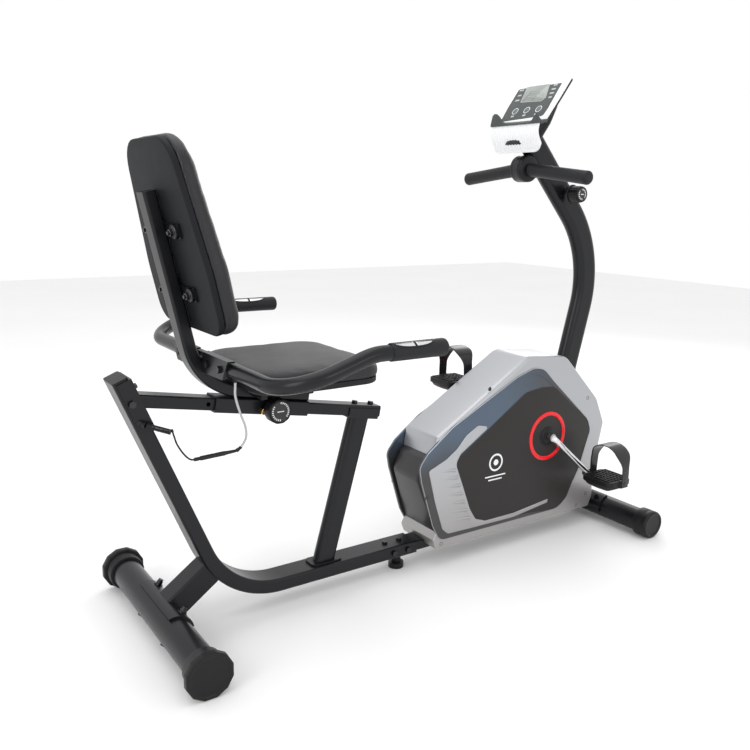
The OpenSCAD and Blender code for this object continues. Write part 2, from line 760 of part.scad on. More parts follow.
// Crank arm in its own frame: axle at the origin, arm along X, outer side +Y.
module crank_arm() {
    difference() {
        union() {
            y_rod(17, 74, crank_y + 8);
            hull() {
                translate([0, crank_y, 0]) y_rod(12, -4, 5);
                translate([crank_length * 0.55, crank_y + 8, 0]) y_rod(10, -4, 5);
            }
            hull() {
                translate([crank_length * 0.55, crank_y + 8, 0]) y_rod(10, -4, 5);
                translate([crank_length, crank_y + 14, 0]) y_rod(12, -5, 6);
            }
        }
        y_rod(axle_r, 70, crank_y + 6);
    }
    translate([crank_length, 0, 0]) y_rod(spindle_r, crank_y + 8, pedal_y + pedal_y_size / 2 - 12);
}

module right_crank() from_rear() color(chrome_grey) mirror([0, 1, 0]) at_crank()
    rotate([0, -crank_angle, 0]) crank_arm();
module left_crank() from_rear() color(chrome_grey) at_crank()
    rotate([0, 180 - crank_angle, 0]) crank_arm();

pedal_offset = crank_length * [cos(crank_angle), sin(crank_angle)];
module at_right_pedal() mirror([0, 1, 0])
    translate([crank_x + pedal_offset[0], 0, crank_height + pedal_offset[1]]) children();
module at_left_pedal() translate([crank_x - pedal_offset[0], 0, crank_height - pedal_offset[1]]) children();

// Pedal body in its own frame: spindle along Y through the origin.
module pedal_body() difference() {
    union() {
        translate([-pedal_x_size / 2, pedal_y - pedal_y_size / 2, -pedal_t / 2])
            cube([pedal_x_size, pedal_y_size, pedal_t - 4]);
        for (i = [-3:3]) translate([i * 13 - 3, pedal_y - pedal_y_size / 2 + 4, pedal_t / 2 - 4.1])
            cube([6, pedal_y_size - 8, 4.1]);
    }
    y_rod(spindle_r + running_gap, 90, pedal_y + pedal_y_size / 2 - 12 + gap);
    for (x = [-1, 1]) translate([x * 27 - 12, pedal_y - 34, -pedal_t]) cube([24, 68, 2 * pedal_t - 12]);
}

module right_pedal() from_rear() color(plastic_black) at_right_pedal() pedal_body();
module left_pedal() from_rear() color(plastic_black) at_left_pedal() pedal_body();

strap_t = 3;
strap_w = 30;
strap_top = 96;

// Foot strap: two legs and a bowed top over the tread.
module pedal_strap() translate([-strap_w / 2 + 9, 0, 0]) difference() {
    translate([0, pedal_y, pedal_t / 2 - 10]) rotate([90, 0, 90]) linear_extrude(strap_w)
        polygon(rounded_outline([[-pedal_y_size / 2 - strap_t, -6, 1], [pedal_y_size / 2 + strap_t, -6, 1],
            [pedal_y_size / 2 + strap_t, strap_top, 34], [-pedal_y_size / 2 - strap_t, strap_top, 34]]));
    translate([-1, pedal_y, pedal_t / 2 - 10]) rotate([90, 0, 90]) linear_extrude(strap_w + 2)
        polygon(rounded_outline([[-pedal_y_size / 2, -8, 1], [pedal_y_size / 2, -8, 1],
            [pedal_y_size / 2, strap_top - strap_t, 32], [-pedal_y_size / 2, strap_top - strap_t, 32]]));
    for (z = [14, 26, 38]) translate([strap_w / 2, pedal_y + pedal_y_size / 2 - 5, z]) y_rod(3, 0, 12);
    translate([strap_w / 2 - 9, 0, 0]) y_rod(spindle_r + 1, 90, pedal_y);
}

module right_strap() from_rear() color(plastic_black) at_right_pedal() pedal_strap();
module left_strap() from_rear() color(plastic_black) at_left_pedal() pedal_strap();

// ---------- seat carriage ----------

module seat_sleeve() from_rear() color(frame_black) difference() {
    on_rail(sleeve_rear) rotate([0, 90, 0]) linear_extrude(sleeve_front - sleeve_rear)
        difference() {
            rounded_rect(sleeve_h, sleeve_w, 4);
            rounded_rect(rail_h + 2 * gap, rail_w + 2 * gap, 4);
        }
    on_rail(pin_s) y_rod(pin_r + running_gap, -50, 0);
}

module back_post() from_rear() color(frame_black) {
    on_back_post() translate([0, 0, -back_run]) linear_extrude(back_run) box_section(back_post_t, back_post_w);
    bend_at(back_bend_c, 180 + back_lean)
        rotate_extrude(angle = 90 - rail_slope - back_lean) translate([back_bend_r, 0])
            box_section(back_post_t, back_post_w);
    on_rail(sleeve_leg_start) translate([0, 0, (sleeve_h + back_post_t) / 2]) rotate([0, 90, 0])
        linear_extrude(sleeve_front - sleeve_leg_start) box_section(back_post_t, back_post_w);
    on_back_post() linear_extrude(3) rounded_rect(back_post_t, back_post_w, 5);
    for (z = strip_z) on_back_post() translate([back_post_t / 2, -strip_reach, z - strip_h / 2])
        cube([back_offset - back_post_t / 2, 2 * strip_reach, strip_h]);
}
leg_foot = back_bend_c - back_bend_r * [sin(rail_slope), cos(rail_slope)];
sleeve_leg_start = leg_foot[0] * cos(rail_slope) - (leg_foot[1] - rail_zero_z) * sin(rail_slope);

// Wings on both sides of the back post that hold the seat handlebar.
module handle_bracket() from_rear() color(frame_black) both_sides() {
    difference() {
        translate([bar_x - bar_r - 4, 0, bar_z]) rotate([90, 0, 90]) linear_extrude(7)
            polygon([[back_post_w / 2, -20], [wing_reach - 25, -18], [wing_reach, 20], [back_post_w / 2, 20]]);
        translate([bar_x, 0, bar_z]) y_rod(bar_r, 0, 200);
    }
    translate([bar_x - bar_r - 4, back_post_w / 2, bar_z + 16.5]) cube([14, wing_reach - back_post_w / 2, 3.5]);
    for (y = [45, 100]) translate([bar_x - bar_r - 4, y, bar_z]) rotate([0, -90, 0])
        cylinder(r = 7, h = 5, $fn = 6);
}

bar_half_span = seat_grip_span / 2;
bar_corner = [bar_x + (bar_level_z - bar_z) / tan(bar_rise), bar_level_z];
level_cut = level_bend_r * tan(bar_rise / 2);
bar_straight = (bar_level_z - bar_z) / sin(bar_rise) - bar_bend_r - level_cut;

// One side of the seat handlebar, from its rear bend to the grip's end.
module bar_side() {
    translate([bar_x, bar_half_span - bar_bend_r, bar_z]) rotate([0, -bar_rise, 0]) {
        rotate([90, 0, 0]) linear_extrude(bar_half_span - bar_bend_r) rotate(180) children();
        translate([bar_bend_r, 0, 0]) rotate([0, 0, 90]) rotate_extrude(angle = 90)
            translate([bar_bend_r, 0]) children();
        translate([bar_bend_r, bar_bend_r, 0]) rotate([0, 90, 0]) linear_extrude(bar_straight)
            rotate(90) children();
    }
    translate([bar_corner[0] + level_cut, bar_half_span, bar_level_z - level_bend_r]) rotate([90, 0, 0])
        rotate([0, 0, 90]) rotate_extrude(angle = bar_rise) translate([level_bend_r, 0]) children();
    translate([bar_corner[0] + level_cut, bar_half_span, bar_level_z]) rotate([0, 90, 0])
        linear_extrude(bar_end_x - 4 - bar_corner[0] - level_cut) children();
}

module seat_handlebar() from_rear() color(frame_black) both_sides() bar_side() difference() {
    circle(bar_r);
    circle(bar_r - bar_wall);
}

grip_from = bar_end_x - 122;
seat_grip_r = bar_r + 1;
module seat_grips() from_rear() color(foam_black) both_sides()
    translate([0, bar_half_span, bar_level_z]) rotate([0, 90, 0]) difference() {
        translate([0, 0, grip_from]) cylinder(r = seat_grip_r, h = bar_end_x - grip_from);
        cylinder(r = bar_r, h = bar_end_x - 4);
    }

// Pulse sensors: a long oval pad on each grip.
module pulse_sensors() from_rear() color(chrome_grey) both_sides()
    translate([grip_from + 48, bar_half_span, bar_level_z]) difference() {
        translate([0, 0, bar_r - 8]) linear_extrude(10.5) flat_oval(64, 11);
        translate([-60, 0, 0]) rotate([0, 90, 0]) cylinder(r = seat_grip_r, h = 120);
    }

module seat_outline(inset) hull() {
    for (y = [-1, 1]) {
        translate([seat_rear_x + 60, y * (seat_width / 2 - 60)]) circle(60 - inset, $fn = 40);
        translate([seat_rear_x + seat_length - 50, y * (seat_width / 2 - 50)]) circle(50 - inset, $fn = 40);
    }
}

module seat_pan() from_rear() color(plastic_black) {
    translate([0, 0, seat_bottom_z]) linear_extrude(pan_t) intersection() {
        seat_outline(14);
        translate([168, -200]) square([400, 400]);
    }
    difference() {
        for (x = [190, 292]) translate([x, -70, seat_bottom_z - 60]) cube([12, 140, 60 + fuse]);
        on_rail() translate([0, -80, -100]) cube([600, 160, 100 + sleeve_h / 2 + back_post_t]);
    }
}

module seat_cushion() from_rear() color(leather_black) translate([0, 0, seat_bottom_z + pan_t]) {
    linear_extrude(seat_t - 14) seat_outline(0);
    translate([0, 0, seat_t - 14]) linear_extrude(8) seat_outline(5);
    translate([0, 0, seat_t - 6]) linear_extrude(6) seat_outline(16);
}

// Slab of the backrest's outline in the back post's frame: wide low down, narrower at the top.
module back_slab(x0, x1, inset) translate([x0, 0, 0]) rotate([90, 0, 90]) linear_extrude(x1 - x0)
    hull() for (y = [-1, 1]) {
        translate([y * (back_width / 2 - 40), back_low + 40]) circle(40 - inset, $fn = 40);
        translate([y * (back_width / 2 - 60), back_low + 120]) circle(60 - inset, $fn = 40);
        translate([y * (back_width / 2 - 98), back_low + back_height - 70]) circle(70 - inset, $fn = 40);
    }

module back_board() from_rear() color(plastic_black) on_back_post()
    back_slab(back_offset, back_offset + board_t, 8);

// The cushion is thinner at the top: its front layers lean back towards the board.
module back_cushion() from_rear() color(leather_black) on_back_post() {
    back_slab(back_offset + board_t, back_offset + 22, 0);
    translate([back_offset, 0, back_low]) rotate([0, -back_taper, 0]) translate([0, 0, -back_low]) {
        back_slab(20, back_t - 14, 0);
        back_slab(back_t - 14 - fuse, back_t - 6, 6);
        back_slab(back_t - 6 - fuse, back_t, 20);
    }
}

// Pull pin of the seat lock and the knob that loosens it.
pin_tip = rail_w / 2 + gap;
module lock_pin() from_rear() color(steel) on_rail(pin_s) {
    y_rod(pin_r, -58, -pin_tip);
}
module lock_knob() from_rear() color(plastic_black) on_rail(pin_s) difference() {
    union() {
        y_rod(26, -62, -44);
        y_rod(15, -44.1, -sleeve_w / 2 - gap);
    }
    y_rod(pin_r + running_gap, -58 - gap, -20);
    for (a = [0:40:320]) rotate([0, a, 0]) translate([29, 0, 0]) y_rod(6, -70, -40);
}

// ---------- pulse lead ----------

// Sweeps an eight-sided tube of radius r along a route of points.
function smooth(route, steps = 4) = let (n = len(route)) [for (i = [0:n - 2], k = [0:steps - 1])
    let (t = k / steps, a = route[max(i - 1, 0)], b = route[i], c = route[i + 1], d = route[min(i + 2, n - 1)])
        0.5 * (2 * b + (c - a) * t + (2 * a - 5 * b + 4 * c - d) * t * t + (3 * b - a - 3 * c + d) * t * t * t),
    route[n - 1]];
module swept_tube(route, r, sides = 8) {
    p = smooth(route);
    n = len(p);
    rings = [for (i = [0:n - 1]) let (d = unit(p[min(i + 1, n - 1)] - p[max(i - 1, 0)]),
        u = unit(cross(d, [0, 1, 0])), v = cross(d, u))
        for (k = [0:sides - 1]) p[i] + r * (cos(360 * k / sides) * u + sin(360 * k / sides) * v)];
    polyhedron(rings, concat([[for (k = [0:sides - 1]) k]],
        [for (i = [0:n - 2], k = [0:sides - 1]) let (a = i * sides + k, b = i * sides + (k + 1) % sides)
            [a + sides, b + sides, b, a]],
        [[for (k = [sides - 1:-1:0]) (n - 1) * sides + k]]));
}

module rod_between(a, b, r) {
    d = b - a;
    translate(a) rotate([0, acos(d[2] / norm(d)), atan2(d[1], d[0])]) cylinder(r = r, h = norm(d));
}

module coil_cord() from_rear() color(plastic_black) rod_between(coil_from, coil_to, coil_r);

module lead_cord() from_rear() color("#8d9092") {
    swept_tube(lead_lower_route, lead_r);
    swept_tube(lead_upper_route, lead_r);
}

// Socket on the upright and the in-line connector of the lead.
module cord_plugs() from_rear() color(plastic_black) {
    rod_between([-33, -33.2, 448], coil_from, 7);
    rod_between([53, -65, 374], [134, -75, 381], 4.2);
}

// ---------- draw ----------

main_tube();
upright_cap();
rear_neck();
rear_stabiliser();
left_rear_cap();
right_rear_cap();
seat_post();
seat_rail();
rail_bracket();
rail_end_cap();
frame_bolts();
centre_foot();
front_frame();
front_stabiliser();
front_caps();
bearings();
shroud_right();
shroud_left();
side_panels();
hub_rings();
shroud_screws();
console_post();
handlebar();
handlebar_grips();
handlebar_clamp();
console_back();
console_front();
console_lens();
circuit_board();
mode_button();
set_button();
reset_button();
tension_knob();
flywheel();
flywheel_axle();
magnet_bracket();
drive_belt();
crank_axle();
drive_pulley();
left_crank();
right_crank();
left_pedal();
right_pedal();
left_strap();
right_strap();
seat_sleeve();
back_post();
handle_bracket();
seat_handlebar();
seat_grips();
pulse_sensors();
seat_pan();
seat_cushion();
back_board();
back_cushion();
lock_pin();
lock_knob();
coil_cord();
lead_cord();
cord_plugs();
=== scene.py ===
"""Studio model of a recumbent magnetic exercise bike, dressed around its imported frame."""

from __future__ import annotations

import logging
import math
from dataclasses import dataclass
from enum import Enum
from typing import Any, Callable, Sequence

import bmesh
import bpy
from mathutils import Matrix, Vector


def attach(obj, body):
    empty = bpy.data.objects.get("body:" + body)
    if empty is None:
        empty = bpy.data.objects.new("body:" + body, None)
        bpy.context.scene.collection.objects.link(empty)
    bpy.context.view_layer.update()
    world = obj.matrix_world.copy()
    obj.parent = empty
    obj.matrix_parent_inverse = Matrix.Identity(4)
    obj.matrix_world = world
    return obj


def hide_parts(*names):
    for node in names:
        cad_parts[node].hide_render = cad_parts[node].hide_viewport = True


logging.basicConfig(level=logging.INFO, format="%(message)s")
LOG = logging.getLogger("bike")

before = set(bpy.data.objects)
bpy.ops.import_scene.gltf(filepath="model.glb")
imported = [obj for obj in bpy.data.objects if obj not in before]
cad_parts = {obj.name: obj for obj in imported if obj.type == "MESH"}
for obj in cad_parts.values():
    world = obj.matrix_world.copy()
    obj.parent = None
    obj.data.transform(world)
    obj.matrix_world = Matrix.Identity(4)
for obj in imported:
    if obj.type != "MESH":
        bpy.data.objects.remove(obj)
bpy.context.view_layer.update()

Point2 = tuple[float, float]
Point3 = tuple[float, float, float]

MM = 0.001
MIDDLE = 596.735  # millimetres from the rear stabiliser's axis to the origin


def at(x: float, y: float, z: float) -> Vector:
    """Point given in millimetres from the rear stabiliser's axis, in the row frame."""
    return Vector(((x - MIDDLE) * MM, y * MM, z * MM))


# ---------------------------------------------------------------- shader maths


@dataclass(frozen=True)
class Wire:
    """A shader socket that can be used in Python arithmetic."""

    graph: "Graph"
    socket: Any

    def _math(self, operation: str, *others: Any) -> "Wire":
        """Adds one Math node fed by this wire and the others."""
        return self.graph.node("ShaderNodeMath", {"operation": operation},
                               {0: self, **dict(enumerate(others, 1))})

    def __add__(self, other: Any) -> "Wire":
        """Sum."""
        return self._math("ADD", other)

    __radd__ = __add__

    def __sub__(self, other: Any) -> "Wire":
        """Difference."""
        return self._math("SUBTRACT", other)

    def __rsub__(self, other: float) -> "Wire":
        """Difference with a plain number on the left."""
        return self.graph.node("ShaderNodeMath", {"operation": "SUBTRACT"}, {0: other, 1: self})

    def __mul__(self, other: Any) -> "Wire":
        """Product."""
        return self._math("MULTIPLY", other)

    __rmul__ = __mul__

    def __pow__(self, other: Any) -> "Wire":
        """Power."""
        return self._math("POWER", other)

    def above(self, edge: float, soft: float) -> "Wire":
        """Smooth step that rises from 0 to 1 around an edge.

        Args:
            edge: value at which the step is half way.
            soft: half the width of the step.

        Returns:
            The step, from 0 to 1.
        """
        return self.graph.node(
            "ShaderNodeMapRange",
            {"interpolation_type": "SMOOTHSTEP"},
            {"Value": self, "From Min": edge - soft, "From Max": edge + soft},
        )

    def wave(self) -> "Wire":
        """Sine of the wire."""
        return self._math("SINE")

    def size(self) -> "Wire":
        """Absolute value of the wire."""
        return self._math("ABSOLUTE")


class Graph:
    """Node tree of one material, with a Principled shader as its end."""

    def __init__(self, name: str) -> None:
        """Starts an empty material called name."""
        self.material = bpy.data.materials.new(name)
        self.material.use_nodes = True
        self.tree = self.material.node_tree
        self.tree.nodes.clear()
        self.shader = self.tree.nodes.new("ShaderNodeBsdfPrincipled")
        output = self.tree.nodes.new("ShaderNodeOutputMaterial")
        self.tree.links.new(self.shader.outputs[0], output.inputs[0])

    def node(self, kind: str, settings: dict[str, Any], inputs: dict[Any, Any], output: Any = 0) -> Wire:
        """Adds a node, sets it up and feeds it.

        Args:
            kind: the node's type name.
            settings: the node's own attributes.
            inputs: values or wires by socket name or index.
            output: name or index of the socket that is returned.

        Returns:
            The wire of the chosen output.
        """
        made = self.tree.nodes.new(kind)
        for key, value in settings.items():
            setattr(made, key, value)
        for key, value in inputs.items():
            self.feed(made.inputs[key], value)
        return Wire(self, made.outputs[output])

    def feed(self, socket: Any, value: Any) -> None:
        """Links a wire to a socket, or sets its value."""
        if isinstance(value, Wire):
            self.tree.links.new(value.socket, socket)
        elif socket.type == "RGBA" and len(value) == 3:
            socket.default_value = (*value, 1)
        else:
            socket.default_value = value

    def place(self) -> Wire:
        """Object coordinates."""
        return self.node("ShaderNodeTexCoord", {}, {}, "Object")

    def axes(self, place: Wire | None = None) -> tuple[Wire, Wire, Wire]:
        """The three parts of a vector wire."""
        split = self.node("ShaderNodeSeparateXYZ", {}, {0: place or self.place()}, 0)
        outputs = split.socket.node.outputs
        return Wire(self, outputs[0]), Wire(self, outputs[1]), Wire(self, outputs[2])

    def noise(self, scale: float, detail: float = 3.0, rough: float = 0.5, place: Wire | None = None) -> Wire:
        """Noise in 0 to 1 with that many waves a metre."""
        return self.node(
            "ShaderNodeTexNoise",
            {"noise_dimensions": "3D"},
            {"Vector": place or self.place(), "Scale": scale, "Detail": detail, "Roughness": rough},
        )

    def cells(self, scale: float, feature: str = "F1", place: Wire | None = None) -> Wire:
        """Voronoi distance with that many cells a metre."""
        return self.node(
            "ShaderNodeTexVoronoi", {"feature": feature}, {"Vector": place or self.place(), "Scale": scale}
        )

    def blend(self, mask: Any, low: Any, high: Any) -> Wire:
        """Mix of two colours by a mask."""
        return self.node("ShaderNodeMix", {"data_type": "RGBA"}, {0: mask, 6: low, 7: high}, 2)

    def bump(self, height: Wire, strength: float, distance: float) -> Wire:
        """Normal bent by a height."""
        return self.node("ShaderNodeBump", {}, {"Height": height, "Strength": strength, "Distance": distance})

    def finish(self, **sockets: Any) -> bpy.types.Material:
        """Feeds the shader's sockets, given with underscores for spaces, and returns the material."""
        for key, value in sockets.items():
            self.feed(self.shader.inputs[key.replace("_", " ")], value)
        return self.material


Colour = tuple[float, float, float]


class Grain(Enum):
    """Surface texture of a moulded or painted piece."""

    ORANGE_PEEL = (420.0, 0.05, 0.00025)
    FINE = (1500.0, 0.22, 0.0002)
    COARSE = (700.0, 0.35, 0.0003)
    SPARK = (2600.0, 0.10, 0.0001)


@dataclass(frozen=True)
class Coat:
    """Painted or moulded finish with a fine grain, handling marks and a little dust."""

    name: str
    colour: Colour
    rough: float
    grain: Grain
    metal: float = 0.0
    coat: float = 0.0
    mottled: float = 0.12
    marks: float = 0.10
    shine: float = 0.26

    def make(self) -> bpy.types.Material:
        """Builds the material."""
        graph = Graph(self.name)
        scale, strength, depth = self.grain.value
        fine = graph.noise(scale, 4.0, 0.6)
        cloud = graph.noise(9.0, 4.0, 0.55)
        smear = graph.noise(38.0, 6.0, 0.7)
        darker = tuple(c * (1 - self.mottled) for c in self.colour)
        lighter = tuple(min(1.0, c * (1 + self.mottled) + 0.002) for c in self.colour)
        rough = (cloud - 0.5) * self.marks + (smear - 0.5) * (self.marks * 0.8) + self.rough
        return graph.finish(
            Base_Color=graph.blend(cloud * 0.7 + fine * 0.3, darker, lighter),
            Roughness=rough,
            Metallic=self.metal,
            Specular_IOR_Level=self.shine,
            Coat_Weight=self.coat,
            Coat_Roughness=0.12,
            Normal=graph.bump(fine, strength, depth),
        )


@dataclass(frozen=True)
class Leatherette:
    """Coated upholstery fabric with pebbled grain and soft wear on its crown."""

    name: str = "leatherette_black"
    colour: Colour = (0.008, 0.0085, 0.0105)
    worn: Colour = (0.016, 0.0165, 0.0185)

    def make(self) -> bpy.types.Material:
        """Builds the material."""
        graph = Graph(self.name)
        place = graph.place()
        warp = graph.noise(120.0, 2.0, 0.5)
        pebble = graph.cells(900.0, "DISTANCE_TO_EDGE", place)
        crease = graph.cells(210.0, "DISTANCE_TO_EDGE", place)
        cloud = graph.noise(11.0, 4.0, 0.6)
        height = pebble * 1.4 + crease * 0.25 + warp * 0.35
        rough = cloud * 0.16 + pebble * 0.25 + 0.30
        return graph.finish(
            Base_Color=graph.blend(cloud, self.colour, self.worn),
            Roughness=rough,
            Specular_IOR_Level=0.36,
            Sheen_Weight=0.03,
            Sheen_Roughness=0.4,
            Normal=graph.bump(height, 0.32, 0.0005),
        )


@dataclass(frozen=True)
class Foam:
    """Closed-cell foam of the grips: tiny pores and a dull skin."""

    name: str = "grip_foam_black"
    colour: Colour = (0.006, 0.0065, 0.008)

    def make(self) -> bpy.types.Material:
        """Builds the material."""
        graph = Graph(self.name)
        pores = graph.cells(1500.0)
        cloud = graph.noise(26.0, 4.0, 0.6)
        return graph.finish(
            Base_Color=graph.blend(cloud, self.colour, (0.012, 0.0125, 0.0145)),
            Roughness=cloud * 0.14 + pores * 0.12 + 0.40,
            Specular_IOR_Level=0.28,
            Sheen_Weight=0.03,
            Normal=graph.bump(pores, 0.35, 0.0003),
        )


@dataclass(frozen=True)
class Metal:
    """Bare or plated metal with fine scratches."""

    name: str
    colour: Colour
    rough: float
    scratch: float = 0.06
    stretch: Point3 = (60.0, 900.0, 60.0)

    def make(self) -> bpy.types.Material:
        """Builds the material."""
        graph = Graph(self.name)
        mapped = graph.node("ShaderNodeMapping", {}, {"Vector": graph.place(), "Scale": self.stretch})
        lines = graph.noise(4.0, 5.0, 0.65, mapped)
        cloud = graph.noise(14.0, 3.0, 0.5)
        return graph.finish(
            Base_Color=graph.blend(cloud, tuple(c * 0.86 for c in self.colour), self.colour),
            Metallic=1.0,
            Roughness=(lines - 0.5) * self.scratch + cloud * 0.05 + self.rough,
            Normal=graph.bump(lines, 0.05, 0.0002),
        )


@dataclass(frozen=True)
class BandPaint:
    """Charcoal paint of the shroud's side band, with a painted bluish steel reflection along its upper rear
    run.
    """

    name: str = "band_paint"

    def make(self) -> bpy.types.Material:
        """Builds the material."""
        graph = Graph(self.name)
        x, _, z = graph.axes()
        flake = graph.noise(2200.0, 2.0, 0.5)
        cloud = graph.noise(10.0, 3.0, 0.5)
        # Mask of the painted reflection: a reflection of bluish light is painted along the band's upper rear
        # run, weaker towards the front.
        rear = 1 - x.above(0.33, 0.13)
        high = z.above(0.285, 0.055)
        low = 1 - x.above(0.012, 0.05) * 0.55
        painted_reflection = rear * high * low
        base = graph.blend(cloud, (0.034, 0.033, 0.034), (0.050, 0.049, 0.050))
        return graph.finish(
            # The bluish steel colour is a painted reflection, not a paint colour; it also raises the metallic
            # weight there.
            Base_Color=graph.blend(painted_reflection, base, (0.115, 0.185, 0.285)),
            Metallic=painted_reflection * 0.35 + 0.25,
            Roughness=cloud * 0.08 + 0.30,
            Coat_Weight=0.25,
            Coat_Roughness=0.15,
            Normal=graph.bump(flake, 0.06, 0.0001),
        )


@dataclass(frozen=True)
class SilverPaint:
    """Silver metallic paint with fine flake, and painted shade that makes it darker and warmer towards the
    floor.
    """

    name: str = "silver_paint"
    colour: Colour = (0.40, 0.41, 0.43)

    def make(self) -> bpy.types.Material:
        """Builds the material."""
        graph = Graph(self.name)
        _, _, z = graph.axes()
        flake = graph.noise(3000.0, 2.0, 0.5)
        cloud = graph.noise(7.0, 4.0, 0.5)
        # Painted shade: below about 170 mm the silver is blended darker and warmer, towards the floor.
        low = 1 - z.above(0.17, 0.13)
        silver_with_painted_shade = graph.blend(low * 0.85, self.colour, (0.33, 0.305, 0.29))
        return graph.finish(
            Base_Color=graph.blend(flake * 0.35, silver_with_painted_shade, (0.55, 0.56, 0.58)),
            Metallic=0.72,
            Roughness=cloud * 0.08 + 0.36,
            Coat_Weight=0.35,
            Coat_Roughness=0.14,
            Normal=graph.bump(flake, 0.05, 0.0001),
        )


@dataclass(frozen=True)
class PrintedDial:
    """Black knob face with a white ring of plain ticks, worked out around a centre."""

    name: str
    centre: Vector
    ring: float
    ticks: int = 26

    def make(self) -> bpy.types.Material:
        """Builds the material."""
        graph = Graph(self.name)
        moved = graph.node(
            "ShaderNodeMapping",
            {"vector_type": "TEXTURE"},
            {"Vector": graph.place(), "Location": tuple(self.centre)},
        )
        x, _, z = graph.axes(moved)
        radius = (x * x + z * z) ** 0.5
        turn = graph.node("ShaderNodeMath", {"operation": "ARCTAN2"}, {0: z, 1: x})
        tick = (turn * float(self.ticks)).wave().above(-0.05, 0.12)
        gaps = (turn * 2.0 + 0.6).wave().above(-0.72, 0.05)
        band = radius.above(self.ring - 0.0022, 0.0002) * (1 - radius.above(self.ring + 0.0012, 0.0002))
        mark = z.size().above(0.0009, 0.0002)
        bar = (1 - mark) * (1 - x.size().above(self.ring * 0.42, 0.0003))
        print_mask = band * tick * gaps + bar
        grain = graph.noise(1400.0, 3.0, 0.5)
        return graph.finish(
            Base_Color=graph.blend(print_mask, (0.016, 0.016, 0.018), (0.78, 0.78, 0.76)),
            Roughness=grain * 0.12 + 0.36,
            Normal=graph.bump(grain, 0.12, 0.0002),
        )


@dataclass(frozen=True)
class DisplayGlass:
    """Reflective liquid-crystal window with faint segment figures."""

    name: str = "display_glass"

    def make(self) -> bpy.types.Material:
        """Builds the material."""
        graph = Graph(self.name)
        uv = graph.node("ShaderNodeUVMap", {"uv_map": "UVMap"}, {})
        u, v, _ = graph.axes(uv)
        shade = graph.noise(3.0, 2.0, 0.5, uv)

        def line(value: Wire, middle: float, half: float) -> Wire:
            """Straight stroke of a figure."""
            return 1 - (value - middle).size().above(half, 0.006)

        digits: Wire | None = None
        for left in (0.46, 0.62, 0.78):
            upright = line(u + v * -0.08, left, 0.012) + line(u + v * -0.08, left + 0.1, 0.012)
            inside = 1 - (u + v * -0.08 - (left + 0.05)).size().above(0.056, 0.004)
            level = (line(v, 0.22, 0.018) + line(v, 0.48, 0.018) + line(v, 0.74, 0.018)) * inside
            tall = 1 - (v - 0.48).size().above(0.27, 0.01)
            digit = upright * tall + level
            digits = digit if digits is None else digits + digit
        small = line(v, 0.86, 0.012) * (u * 60.0).wave().above(0.1, 0.2)
        mask = graph.node("ShaderNodeClamp", {}, {0: digits * 0.55 + small * 0.3})
        base = graph.blend(shade, (0.20, 0.225, 0.205), (0.29, 0.315, 0.29))
        return graph.finish(
            Base_Color=graph.blend(mask, base, (0.05, 0.06, 0.058)),
            Roughness=shade * 0.05 + 0.12,
            Coat_Weight=0.7,
            Coat_Roughness=0.05,
        )


@dataclass(frozen=True)
class Sheath:
    """Braided grey sheath of the lead."""

    name: str = "lead_sheath"

    def make(self) -> bpy.types.Material:
        """Builds the material."""
        graph = Graph(self.name)
        weave = graph.cells(1600.0)
        cloud = graph.noise(60.0, 3.0, 0.5)
        return graph.finish(
            Base_Color=graph.blend(weave + cloud * 0.3, (0.30, 0.31, 0.32), (0.58, 0.59, 0.60)),
            Metallic=0.35,
            Roughness=cloud * 0.1 + 0.34,
            Normal=graph.bump(weave, 0.3, 0.0004),
        )


class Finish(Enum):
    """Every finish of the bike that isn't tied to one knob."""

    POWDER = Coat("powder_black", (0.0055, 0.0062, 0.0078), 0.30, Grain.ORANGE_PEEL, coat=0.06, mottled=0.18)
    PLASTIC = Coat("moulded_black", (0.0055, 0.0058, 0.0066), 0.42, Grain.FINE)
    PANEL = Coat("panel_black", (0.021, 0.019, 0.018), 0.42, Grain.FINE, mottled=0.08)
    CHARCOAL = Coat("charcoal_shell", (0.036, 0.036, 0.038), 0.34, Grain.SPARK, metal=0.25, coat=0.2)
    WHITE = Coat("console_white", (0.79, 0.80, 0.81), 0.30, Grain.SPARK, coat=0.3, mottled=0.03, marks=0.05)
    FACE = Coat("console_face", (0.060, 0.068, 0.066), 0.38, Grain.SPARK, mottled=0.06)
    LABEL = Coat("label_grey", (0.42, 0.44, 0.44), 0.5, Grain.SPARK, mottled=0.05)
    BUTTON = Coat("button_grey", (0.62, 0.66, 0.70), 0.28, Grain.SPARK, coat=0.4, mottled=0.05)
    RED = Coat("ring_red", (0.78, 0.006, 0.012), 0.26, Grain.SPARK, coat=0.4, mottled=0.06, marks=0.05)
    RUBBER = Coat("strap_rubber", (0.006, 0.006, 0.0066), 0.5, Grain.COARSE)
    COIL = Coat("coil_black", (0.012, 0.012, 0.013), 0.32, Grain.FINE)
    KEY = Coat("key_dark", (0.10, 0.12, 0.13), 0.30, Grain.SPARK, coat=0.3, mottled=0.05)
    STRAP = Coat("strap_black", (0.013, 0.013, 0.015), 0.30, Grain.ORANGE_PEEL, coat=0.25)
    BACKING = Coat("board_cloth", (0.0065, 0.0075, 0.0095), 0.6, Grain.COARSE, mottled=0.18, shine=0.18)
    BRASS = Metal("brass_plate", (0.55, 0.36, 0.10), 0.24)
    BOARD = Coat("board_green", (0.015, 0.11, 0.045), 0.4, Grain.FINE)
    LEATHER = Leatherette()
    FOAM = Foam()
    CHROME = Metal("chrome_plate", (0.83, 0.83, 0.85), 0.07)
    STEEL = Metal("zinc_steel", (0.46, 0.46, 0.47), 0.26, 0.1)
    BLACKED = Metal("blacked_steel", (0.055, 0.055, 0.06), 0.30, 0.1)
    IRON = Metal("machined_iron", (0.30, 0.30, 0.31), 0.30, 0.14)
    BAND = BandPaint()
    SILVER = SilverPaint()
    GLASS = DisplayGlass()
    SHEATH = Sheath()


